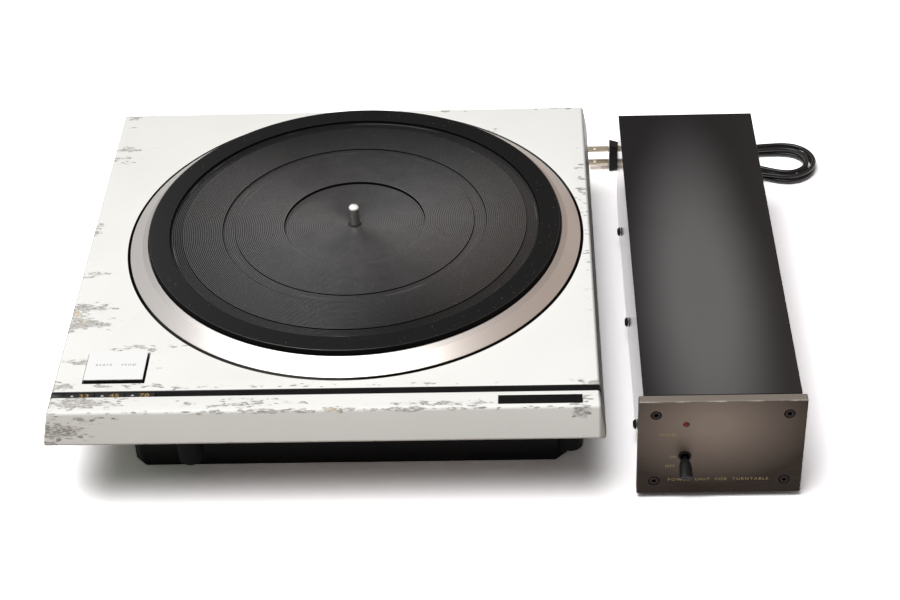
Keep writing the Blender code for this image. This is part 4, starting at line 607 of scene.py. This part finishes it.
def turning_tree(name):
    """A tree that turns a profile once round the upright axis through a place. The profile runs down
    the outer side and up the inner one, and closes on itself or ends on the axis."""
    tree, given = piece_tree(name, Profile="Geometry", Sides="Int", Axis="Vector", Finish="Material")
    corner_count = node(tree, "GeometryNodeAttributeDomainSize", {"Geometry": given["Profile"]})
    around_count = maths(tree, 'ADD', given["Sides"], 1.0)
    sheet = node(tree, "GeometryNodeMeshGrid", {"Vertices X": corner_count, "Vertices Y": around_count})
    index = node(tree, "GeometryNodeInputIndex")
    column = maths(tree, 'DIVIDE', index, around_count)
    column = maths(tree, 'FLOOR', column)
    row = maths(tree, 'MODULO', index, around_count)
    position = node(tree, "GeometryNodeInputPosition")
    corner = node(tree, "GeometryNodeSampleIndex",
                  {"Geometry": given["Profile"], "Value": position, "Index": column},
                  data_type='FLOAT_VECTOR')
    apart = tree.nodes.new("ShaderNodeSeparateXYZ")
    tree.links.new(corner, apart.inputs[0])
    turn = maths(tree, 'DIVIDE', row, given["Sides"])
    angle = maths(tree, 'MULTIPLY', turn, math.tau)
    arms = [maths(tree, 'MULTIPLY', maths(tree, way, angle), apart.outputs["X"])
            for way in ('COSINE', 'SINE')]
    place = node(tree, "ShaderNodeCombineXYZ", {"X": arms[0], "Y": arms[1], "Z": apart.outputs["Z"]})
    place = node(tree, "ShaderNodeVectorMath", {0: place, 1: given["Axis"]}, operation='ADD')
    turned = node(tree, "GeometryNodeSetPosition", {"Geometry": sheet, "Position": place})
    closed = node(tree, "GeometryNodeMergeByDistance", {"Geometry": turned, "Distance": merge_reach})
    return dressed_tree(tree, closed, given["Finish"])


turning = turning_tree("turned piece")


def grown(name, start_mesh, tree, inputs, sharp=30):
    """Runs a geometry tree on a mesh with named inputs, and returns the result as a plain mesh."""
    holder = bpy.data.objects.new(name, start_mesh)
    scene.collection.objects.link(holder)
    step = holder.modifiers.new("tree", 'NODES')
    step.node_group = tree
    sockets = {item.name: item.identifier for item in tree.interface.items_tree if item.in_out == 'INPUT'}
    for label, value in inputs.items():
        step[sockets[label]] = value
    mesh = bpy.data.meshes.new_from_object(holder.evaluated_get(bpy.context.evaluated_depsgraph_get()))
    bpy.data.objects.remove(holder)
    mesh.shade_smooth()
    mesh.set_sharp_from_angle(angle=math.radians(sharp))
    mesh.name = name
    return mesh


def turned_mesh(name, profile, axis, material, sides=turned_sides, closed=True, sharp=30):
    """A turned mesh from a profile of radius and height in millimetres."""
    chain = bpy.data.meshes.new(name)
    ends = profile + profile[:1] if closed else profile
    chain.from_pydata([(radius * mm, 0, height * mm) for radius, height in ends],
                      [(number, number + 1) for number in range(len(ends) - 1)], [])
    return grown(name, chain, turning, {"Sides": sides, "Axis": axis, "Finish": material}, sharp)


turned_metal, tree, shader = finish("turned metal", (0.55, 0.52, 0.5), 0.34, 1.0, Anisotropic=0.6)
radius = turned_radius(tree)
rings = node(tree, "ShaderNodeCombineXYZ", {"X": radius})
marks = node(tree, "ShaderNodeTexNoise", {"Vector": rings, "Scale": 3500, "Detail": 3.0})
on_bevel = maths(tree, 'MULTIPLY', between(tree, radius, *bevel_start), between(tree, radius, *bevel_end))
metal_tone = mixed(tree, marks, (0.52, 0.49, 0.465), (0.6, 0.573, 0.553))
# The bevel is painted darker than the ring: painted shade
bevel_painted_shade = mixed(tree, marks, (0.42, 0.4, 0.385), (0.5, 0.48, 0.465))
tree.links.new(mixed(tree, on_bevel, metal_tone, bevel_painted_shade), shader.inputs["Base Color"])
tree.links.new(between(tree, marks, 0, 1, 0.26, 0.42), shader.inputs["Roughness"])
raised(tree, shader, marks, 0.01 * mm, 0.35)
tree.links.new(node(tree, "ShaderNodeTangent", direction_type='RADIAL', axis='Z'), shader.inputs["Tangent"])
# The platter's section as radius and height: down the rim, in along the underside, and out under the
# mat to the lip and the bevel
platter_profile = [(161.7, 80.8), (162, 80.5), (162, 64.9), (161.7, 64.6),
                   (154, 64.6), (154, 81.8), (36, 81.8), (34.5, 74), (12.3, 74), (12.3, 86.3),
                   (148.5, 86.3), (148.5, 88.1), (148.7, 88.3), (149.1, 88.3), (149.4, 88.15), (152.4, 86.65),
                   (152.7, 86.5)]
add_shape("platter_casting", turned_mesh("platter_casting", platter_profile, platter_axis, turned_metal),
          turned_metal, "turned_aluminium", "platter", body="platter")


# Rubber mat: moulded with fine concentric ribs in stepped bands and in its label recess, and with
# a smooth raised rim. It is painted paler towards the middle as a painted sheen, with painted
# highlights along the edges of the bands and painted shade in the rib valleys and at the steps' feet.
rib_pitch = 1.3
rib_height = 0.15
# Each ribbed band: its inner and outer radius and its height
mat_bands = ((5.2, 50.7, 89.2), (50.7, 85.8, 91.1), (85.8, 94.9, 90.3), (94.9, 123.5, 91.1),
             (123.5, 132.6, 90.3))
mat_radius = 148
mat_underside = 86.6
rim_top = 92
rim_inner = 133
hole_radius = 3.9
hole_top = 89
ribs_end = (132.7 * mm, 132.5 * mm)
outer_band_start = (123.4 * mm, 123.6 * mm)
highlight_arc_radii = (51.2, 90.6, 130.4)
# Each painted shade line at the foot of a step: the radius of its middle and half its width
step_shade_lines = ((50.55, 0.3), (86, 0.35), (94.75, 0.35), (123.7, 0.35), (132.55, 0.5), (148, 0.75))
mat_rubber, tree, shader = finish("mat rubber", (0.014, 0.013, 0.013), 0.22, IOR=1.6)
radius = turned_radius(tree)
mat_wear_and_painted_light = mixed(tree, noise(tree, 25, detail=6.0), (0.006, 0.0058, 0.0058), (0.009, 0.0086, 0.0087))
painted_sheen_mat = mixed(tree, noise(tree, 70, detail=8.0), (0.036, 0.034, 0.035), (0.09, 0.086, 0.088))
# Paler towards the middle: a painted sheen
mat_wear_and_painted_light = mixed(tree, between(tree, radius, 120 * mm, 52 * mm), mat_wear_and_painted_light, painted_sheen_mat)
# Pale arcs along the edges of the bands: painted highlights
painted_highlight_arcs = 0.0
for edge in highlight_arc_radii:
    off_edge = maths(tree, 'ABSOLUTE', maths(tree, 'SUBTRACT', radius, edge * mm))
    painted_highlight_arcs = maths(tree, 'MAXIMUM', painted_highlight_arcs, between(tree, off_edge, 0.5 * mm, 0.2 * mm))
painted_highlight_arcs = maths(tree, 'MULTIPLY', painted_highlight_arcs, between(tree, noise(tree, 22, detail=2.0), 0.5, 0.62))
mat_wear_and_painted_light = mixed(tree, painted_highlight_arcs, mat_wear_and_painted_light, (0.09, 0.086, 0.085))
dusty = between(tree, noise(tree, 620, detail=2.0), 0.71, 0.75)
mat_wear_and_painted_light = mixed(tree, dusty, mat_wear_and_painted_light, (0.15, 0.145, 0.14))
# The rib valleys and the foot of each step are painted dark: painted shade
from_valley = maths(tree, 'PINGPONG', radius, rib_pitch / 2 * mm)
ribbed_part = between(tree, radius, *ribs_end)
painted_valley_shade = maths(tree, 'MULTIPLY', between(tree, from_valley, 0.26 * mm, 0.1 * mm, 0, 0.85), ribbed_part)
for foot, half_width in step_shade_lines:
    off_step = maths(tree, 'ABSOLUTE', maths(tree, 'SUBTRACT', radius, foot * mm))
    step_shade_line = between(tree, off_step, half_width * mm, (half_width - 0.12) * mm)
    painted_valley_shade = maths(tree, 'MAXIMUM', painted_valley_shade, step_shade_line)
tree.links.new(mixed(tree, painted_valley_shade, mat_wear_and_painted_light, (0.003, 0.003, 0.003)), shader.inputs["Base Color"])
tree.links.new(between(tree, painted_valley_shade, 0, 1, 0.22, 0.8), shader.inputs["Roughness"])
# The outermost ribbed band is duller than the rest, and so are the painted shade lines
outer_band = between(tree, radius, *outer_band_start)
dull_band = maths(tree, 'MULTIPLY', outer_band, ribbed_part)
sheen = maths(tree, 'SUBTRACT', 1.0, between(tree, dull_band, 0, 1, 0, 0.45))
sheen = maths(tree, 'MULTIPLY', sheen, between(tree, painted_valley_shade, 0, 1, 1, 0.05))
tree.links.new(sheen, shader.inputs["Specular IOR Level"])
grained(mat_rubber, 3000, 0.02 * mm, 0.4)
mat_profile = [(mat_radius, rim_top - 0.7), (mat_radius, mat_underside), (hole_radius, mat_underside),
               (hole_radius, hole_top)]
for start, end, height in mat_bands:
    for rib in range(round((end - start) / rib_pitch)):
        valley = start + rib * rib_pitch
        mat_profile += [(valley, height - rib_height), (valley + rib_pitch / 2, height)]
    mat_profile += [(end, height - rib_height)]
mat_profile += [(rim_inner - 0.25, rim_top - 0.2), (rim_inner, rim_top), (mat_radius - 0.8, rim_top),
                (mat_radius - 0.2, rim_top - 0.2)]
ribbed_mat = turned_mesh("ribbed_mat", mat_profile, platter_axis, mat_rubber, 160, sharp=10)
add_shape("ribbed_mat", ribbed_mat, mat_rubber, "mat_rubber", "platter_mat", body="platter")


# Spindle: a steel pin pressed into the rotor. Its domed tip is polished bright by the records, and
# its shaft is darker.
polished_steel = mottled("polished steel", (0.82, 0.81, 0.8), (0.62, 0.61, 0.6), 0.26, 0.42, 500,
                         metallic=1.0)
tip_edge = (102.6 * mm, 103.4 * mm)
spindle_steel, tree, shader = finish("spindle steel", (0.78, 0.77, 0.76), 0.3, 1.0)
tip = between(tree, along(tree, "Z"), *tip_edge)
shaft_tone = mixed(tree, noise(tree, 500), (0.2, 0.19, 0.18), (0.34, 0.33, 0.32))
tree.links.new(mixed(tree, tip, shaft_tone, (0.95, 0.94, 0.93)), shader.inputs["Base Color"])
tree.links.new(between(tree, tip, 0, 1, 0.3, 0.55), shader.inputs["Roughness"])
spindle_radius = 3.6
spindle_top = 105.8
dome_height = 2.9
shoulder_radius = 5
shoulder_top = 66
spindle_foot = 27.1
dome_steps = 8
dome_angles = [math.pi / 2 * step / dome_steps for step in range(dome_steps + 1)]
spindle_profile = [(spindle_radius * math.sin(angle), spindle_top - dome_height * (1 - math.cos(angle)))
                   for angle in dome_angles]
spindle_profile += [(spindle_radius, shoulder_top), (shoulder_radius, shoulder_top - 0.3),
                    (shoulder_radius, spindle_foot), (0, spindle_foot)]
add_shape("spindle_pin", turned_mesh("spindle_pin", spindle_profile, platter_axis, spindle_steel, 48, False),
          spindle_steel, "bright_steel", "spindle", body="platter")


# Motor, under the platter: a cast rotor with a ferrite ring, a stator of steel sheets with twelve
# coils, and a brass bearing in a cast base.
cast_metal = mottled("cast metal", (0.54, 0.54, 0.55), (0.4, 0.4, 0.41), 0.42, 0.62, 160, detail=6.0,
                     metallic=1.0)
grained(cast_metal, 900, 0.05 * mm, 0.5, 4.0)
plain_steel = mottled("plain steel", (0.44, 0.44, 0.45), (0.3, 0.3, 0.31), 0.35, 0.55, 300, (1, 1, 6),
                      metallic=1.0)
copper = mottled("enamelled copper", (0.66, 0.3, 0.14), (0.42, 0.17, 0.08), 0.28, 0.45, 700, metallic=1.0)
ferrite = mottled("ferrite", (0.045, 0.045, 0.05), (0.08, 0.08, 0.085), 0.5, 0.7, 600)
bearing_brass = mottled("bearing brass", (0.72, 0.55, 0.28), (0.5, 0.37, 0.18), 0.25, 0.45, 300, metallic=1.0)
circuit_board, tree, shader = finish("circuit board", (0.05, 0.16, 0.07), 0.45)
traces = between(tree, noise(tree, 160, (3, 0.4, 1), 1.0), 0.5, 0.52)
varied(tree, shader, (0.035, 0.13, 0.055), (0.08, 0.24, 0.1), 0.4, 0.5, traces)
give(cast_metal, "rotor_hub", "motor_base", "heat_sink")
give(plain_steel, "stator_core", "thrust_cap", "transformer_core", "power_transistors", "start_button_spring")
give(copper, "stator_coils", "transformer_winding")
give(ferrite, "rotor_magnet")
give(bearing_brass, "bearing_housing")
give(polished_steel, "thrust_ball")
give(circuit_board, "control_board", "drive_board", "regulator_board")


# Bottom cover: a black tray screwed up against the frame. The posts outside it end in rubber.
black_tray = mottled("black tray", (0.003, 0.003, 0.0035), (0.007, 0.0065, 0.0065), 0.35, 0.5, 90, detail=6.0,
                     Specular_IOR_Level=0.12)
black_rubber = mottled("black rubber", (0.003, 0.003, 0.003), (0.008, 0.0076, 0.0076), 0.45, 0.6, 250,
                       Specular_IOR_Level=0.04)
add_shape("cover_tray", softened("bottom_cover", 0.5 * mm, 2, 50), black_tray, "black_paint", "bottom_cover")
# A sleeve's section: its bore and its top, then down its side and round its foot
sleeve_profile = [(0, 24), (5.3, 24), (5.3, 57), (8.2, 57), (8.5, 56.7), (8.5, 21.8), (8.3, 21), (7.8, 20.4),
                  (7, 20.05), (6.6, 20), (0, 20)]
for number in range(1, 5):
    sleeve = f"post_sleeve_{number}"
    sleeve_low, sleeve_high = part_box(sleeve)
    sleeve_axis = (sleeve_low + sleeve_high) / 2
    sleeve_axis.z = 0
    name = f"post_rubber_{number}"
    add_shape(name, turned_mesh(name, sleeve_profile, sleeve_axis, black_rubber, 40, False), black_rubber,
              "black_rubber", sleeve)
give(bearing_brass, "ground_terminal")


# Power unit: a steel tray and a folded cover in glossy dark grey paint, paler along the
# middle of the cover's top.
cover_low, cover_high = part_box("unit_cover")
paler_middle = Vector(((cover_low.x + cover_high.x) / 2 - 5 * mm, cover_low.y + 100 * mm, cover_high.z))
paler_reach = Vector((50, 225, 90)) * mm
grey_paint, tree, shader = finish("grey paint", (0.045, 0.042, 0.041), 0.2, Specular_IOR_Level=0.5)
# Paler in an oval round the middle of the top, darker towards its ends and sides
away = maths(tree, 'ADD', away_from(tree, paler_middle, paler_reach),
             between(tree, noise(tree, 7, detail=3.0), 0, 1, -0.08, 0.08))
paler_share = between(tree, away, 1.12, 0.25, ease='SMOOTHSTEP')
varied(tree, shader, (0.022, 0.02, 0.02), (0.13, 0.124, 0.125), 0.13, 0.26, paler_share)
grained(grey_paint, 1600, 0.004 * mm, 0.3)
give(grey_paint, "unit_chassis")
add_shape("cover_sheet", softened("unit_cover", 0.5 * mm, 2, 50), grey_paint, "grey_sheet", "unit_cover")
give(black_moulding, "fuse_holder", "unit_outlet", "deck_inlet", "toggle_switch")
give(black_rubber, "cord_grommet")


# Screws of the cover: three dome heads low on each side, with a cross recess, blacked. One tree
# grows every set of screws: heads on the points of a mesh, turned one way, with a cut in each.
screw_black = mottled("screw black", (0.01, 0.0075, 0.0065), (0.026, 0.02, 0.017), 0.4, 0.55, 900,
                      Specular_IOR_Level=0.14)


def screw_tree(name):
    """A tree that puts a round head on each point: a disc, a chamfer or low dome, and a hex or cross cut."""
    tree, given = piece_tree(name, Places="Geometry", Radius="Float", Height="Float", Top_share="Float",
                             Cut_radius="Float", Cut_depth="Float", Hex_cut="Bool", Turn="Rotation",
                             Finish="Material")
    half = maths(tree, 'MULTIPLY', given["Height"], 0.5)
    disc = node(tree, "GeometryNodeMeshCylinder",
                {"Vertices": 32, "Radius": given["Radius"], "Depth": half})
    top_radius = maths(tree, 'MULTIPLY', given["Radius"], given["Top share"])
    crown = node(tree, "GeometryNodeMeshCone",
                 {"Vertices": 32, "Radius Top": top_radius, "Radius Bottom": given["Radius"], "Depth": half})
    quarter = maths(tree, 'MULTIPLY', half, 0.5)
    disc = node(tree, "GeometryNodeTransform",
                {"Geometry": disc, "Translation": node(tree, "ShaderNodeCombineXYZ", {"Z": quarter})})
    crown = node(tree, "GeometryNodeTransform",
                 {"Geometry": crown, "Translation": node(tree, "ShaderNodeCombineXYZ", {"Z": half})})
    head = node(tree, "GeometryNodeMeshBoolean", operation='UNION', solver='EXACT')
    union = head.node
    tree.links.new(disc, union.inputs["Mesh 2"])
    tree.links.new(crown, union.inputs["Mesh 2"])
    deep = maths(tree, 'MULTIPLY', given["Cut depth"], 2.0)
    hexagon = node(tree, "GeometryNodeMeshCylinder",
                   {"Vertices": 6, "Radius": given["Cut radius"], "Depth": deep})
    wide = maths(tree, 'MULTIPLY', given["Cut radius"], 2.0)
    slim = maths(tree, 'MULTIPLY', given["Cut radius"], 0.45)
    bar_size = node(tree, "ShaderNodeCombineXYZ", {"X": wide, "Y": slim, "Z": deep})
    bar = node(tree, "GeometryNodeMeshCube", {"Size": bar_size})
    other_size = node(tree, "ShaderNodeCombineXYZ", {"X": slim, "Y": wide, "Z": deep})
    other_bar = node(tree, "GeometryNodeMeshCube", {"Size": other_size})
    cross = node(tree, "GeometryNodeMeshBoolean", operation='UNION', solver='EXACT')
    tree.links.new(bar, cross.node.inputs["Mesh 2"])
    tree.links.new(other_bar, cross.node.inputs["Mesh 2"])
    cutter = node(tree, "GeometryNodeSwitch", {"Switch": given["Hex cut"], "False": cross, "True": hexagon},
                  input_type='GEOMETRY')
    at_top = node(tree, "ShaderNodeCombineXYZ", {"Z": given["Height"]})
    cutter = node(tree, "GeometryNodeTransform", {"Geometry": cutter, "Translation": at_top})
    finished = node(tree, "GeometryNodeMeshBoolean", {"Mesh 1": head}, operation='DIFFERENCE', solver='EXACT')
    tree.links.new(cutter, finished.node.inputs["Mesh 2"])
    heads = node(tree, "GeometryNodeInstanceOnPoints",
                 {"Points": given["Places"], "Instance": finished, "Rotation": given["Turn"]})
    return dressed_tree(tree, heads, given["Finish"])


screw_set = screw_tree("set of screws")


def screws_mesh(name, places, turn, radius, height, top_share, cut_radius, cut_depth, hex_cut):
    """The heads of one set of screws, from the places of their undersides in metres."""
    dots = bpy.data.meshes.new(name)
    dots.from_pydata(places, [], [])
    return grown(name, dots, screw_set, {"Radius": radius * mm, "Height": height * mm, "Top share": top_share,
                                         "Cut radius": cut_radius * mm, "Cut depth": cut_depth * mm,
                                         "Hex cut": hex_cut, "Turn": turn, "Finish": screw_black})


for side, turn in (("left", -90), ("right", 90)):
    names = [f"{side}_cover_screw_{number}" for number in (1, 2, 3)]
    boxes = [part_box(name) for name in names]
    cover_side = cover_high.x + gap if side == "right" else cover_low.x - gap
    places = [(cover_side, (low.y + high.y) / 2, (low.z + high.z) / 2) for low, high in boxes]
    heads = screws_mesh(side + "_cover_screws", places, Euler((0, math.radians(turn), 0)), radius=3.4,
                        height=2.2, top_share=0.6, cut_radius=1.3, cut_depth=1.0, hex_cut=False)
    add_shape(side + "_cover_screws", heads, screw_black, "black_paint", *names)


# Front plate: thick aluminium, brushed and anodised brown, with gold print, four hex screws,
# a red lamp and the toggle. The brown is rubbed off along the front edge of its top. It is painted
# lighter round its middle and on its top face, and darker towards its edges, as painted light and shade.
plate_low, plate_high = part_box("unit_front_plate")
brown_metal, tree, shader = finish("brown metal", (0.09, 0.077, 0.068), 0.4, 0.35, Specular_IOR_Level=0.06)
brushed = noise(tree, 60, (1, 40, 60), 4.0)
# The brown is painted lighter round a middle and darker towards the edges and the bottom: painted light and
# shade
plate_light_middle = Vector((188 * mm, plate_low.y, 64 * mm))
plate_light_reach = Vector((66, 50, 50)) * mm
plate_painted_light = between(tree, away_from(tree, plate_light_middle, plate_light_reach), 1.05, 0.15)
brown = mixed(tree, plate_painted_light, (0.02, 0.0135, 0.0098), (0.214, 0.173, 0.143))
brown = mixed(tree, between(tree, brushed, 0.3, 0.7, 0, 0.12), brown, (0.19, 0.158, 0.13))
# The top face is painted lighter: painted light
plate_top_painted_light = between(tree, along(tree, "Z"), plate_high.z - 0.25 * mm, plate_high.z - 0.1 * mm)
brown = mixed(tree, plate_top_painted_light, brown, (0.26, 0.225, 0.195))
top_edge = between(tree, along(tree, "Z"), plate_high.z - 0.7 * mm, plate_high.z - 0.2 * mm)
front_edge = between(tree, along(tree, "Y"), plate_low.y + 0.9 * mm, plate_low.y + 0.3 * mm)
rubbed_edge = maths(tree, 'MULTIPLY', top_edge, front_edge)
chips = between(tree, noise(tree, 1, (90, 300, 300), 5.0), 0.45, 0.62, 0.12, 1)
rubbed_edge = maths(tree, 'MULTIPLY', rubbed_edge, chips)
tree.links.new(mixed(tree, rubbed_edge, brown, (0.62, 0.6, 0.57)), shader.inputs["Base Color"])
tree.links.new(between(tree, brushed, 0, 1, 0.33, 0.45), shader.inputs["Roughness"])
gold_ink = mottled("gold ink", (0.34, 0.26, 0.09), (0.2, 0.155, 0.06), 0.4, 0.55, 1200, metallic=0.3)
red_lens = mottled("red lens", (0.28, 0.035, 0.01), (0.12, 0.008, 0.003), 0.25, 0.4, 700,
                   Specular_IOR_Level=0.15)
add_shape("front_panel", softened("unit_front_plate", 0.25 * mm), brown_metal, "brown_plate",
          "unit_front_plate")
give(red_lens, "power_lamp")
plate_screws = [f"front_plate_screw_{number}" for number in (1, 2, 3, 4)]
plate_screw_height = 3.6
boxes = [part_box(name) for name in plate_screws]
places = [((low.x + high.x) / 2, plate_low.y + plate_screw_height * mm, (low.z + high.z) / 2)
          for low, high in boxes]
heads = screws_mesh("plate_screws", places, Euler((math.radians(90), 0, 0)), radius=3.4,
                    height=plate_screw_height, top_share=0.86, cut_radius=1.7, cut_depth=2, hex_cut=True)
add_shape("plate_screws", heads, screw_black, "black_paint", *plate_screws)
facing = Matrix.Rotation(math.radians(90), 4, 'X')
letter_height = 2.2 * mm
# Each word: its piece's name, what it says, its width, and its middle across and up the plate
plate_words = (("power_word", "POWER", 10.8, 159.8, 55.8), ("on_word", "ON", 4.2, 163.2, 36.5),
               ("off_word", "OFF", 6.2, 161.5, 28.5),
               ("power_unit_words", "POWER  UNIT  FOR  TURNTABLE", 66, 193.5, 16.4))
for name, words, width, x, z in plate_words:
    add_lettering(name, words, width * mm, letter_height, Vector((x * mm, plate_low.y, z * mm)), facing,
                  gold_ink, "brown_plate", spacing=1.25)


# Toggle lever: a smooth black bat with a round section. It swells quickly from a thin root in the
# switch's bushing, and its end is nearly flat.
lever_root = Vector((170.95, -168.0, 36.85)) * mm
# The lever points forwards and 13.5 degrees down
lever_way = Vector((0, -0.9724, -0.2333))
lever_up = Vector((0, -0.2333, 0.9724))
lever_side = Vector((1, 0, 0))
lever_sides = 28
# Each station: its place along the lever, its half width and its half thickness
lever_stations = ((0, 1.2, 1.2), (5.4, 1.3, 1.3), (6.4, 2.1, 1.9), (7.6, 3.0, 2.4), (9.2, 3.7, 2.65),
                  (11.5, 4.05, 2.7), (15, 4.2, 2.6), (19, 4.3, 2.45), (20.2, 4.25, 2.35), (20.7, 4.0, 2.1),
                  (20.8, 3.5, 1.75), (20.45, 2, 1))
lever_shape = bmesh.new()
lever_loops = []
for distance, half_width, half_thickness in lever_stations:
    centre = lever_root + lever_way * distance * mm
    loop = []
    for step in range(lever_sides):
        angle = math.tau * step / lever_sides
        loop.append(lever_shape.verts.new(centre + lever_side * half_width * mm * math.cos(angle)
                                          + lever_up * half_thickness * mm * math.sin(angle)))
    lever_loops.append(loop)
for loop, next_loop in zip(lever_loops, lever_loops[1:]):
    for step in range(lever_sides):
        other = (step + 1) % lever_sides
        lever_shape.faces.new((loop[step], loop[other], next_loop[other], next_loop[step]))
lever_shape.faces.new(lever_loops[0])
lever_shape.faces.new(lever_loops[-1])
bmesh.ops.recalc_face_normals(lever_shape, faces=lever_shape.faces)
lever_mesh = bpy.data.meshes.new("toggle_bat")
lever_shape.to_mesh(lever_mesh)
lever_shape.free()
lever_mesh.shade_smooth()
lever_mesh.set_sharp_from_angle(angle=math.radians(50))
add_shape("toggle_bat", lever_mesh, black_moulding, "black_plastic", "power_toggle", body="power_toggle")
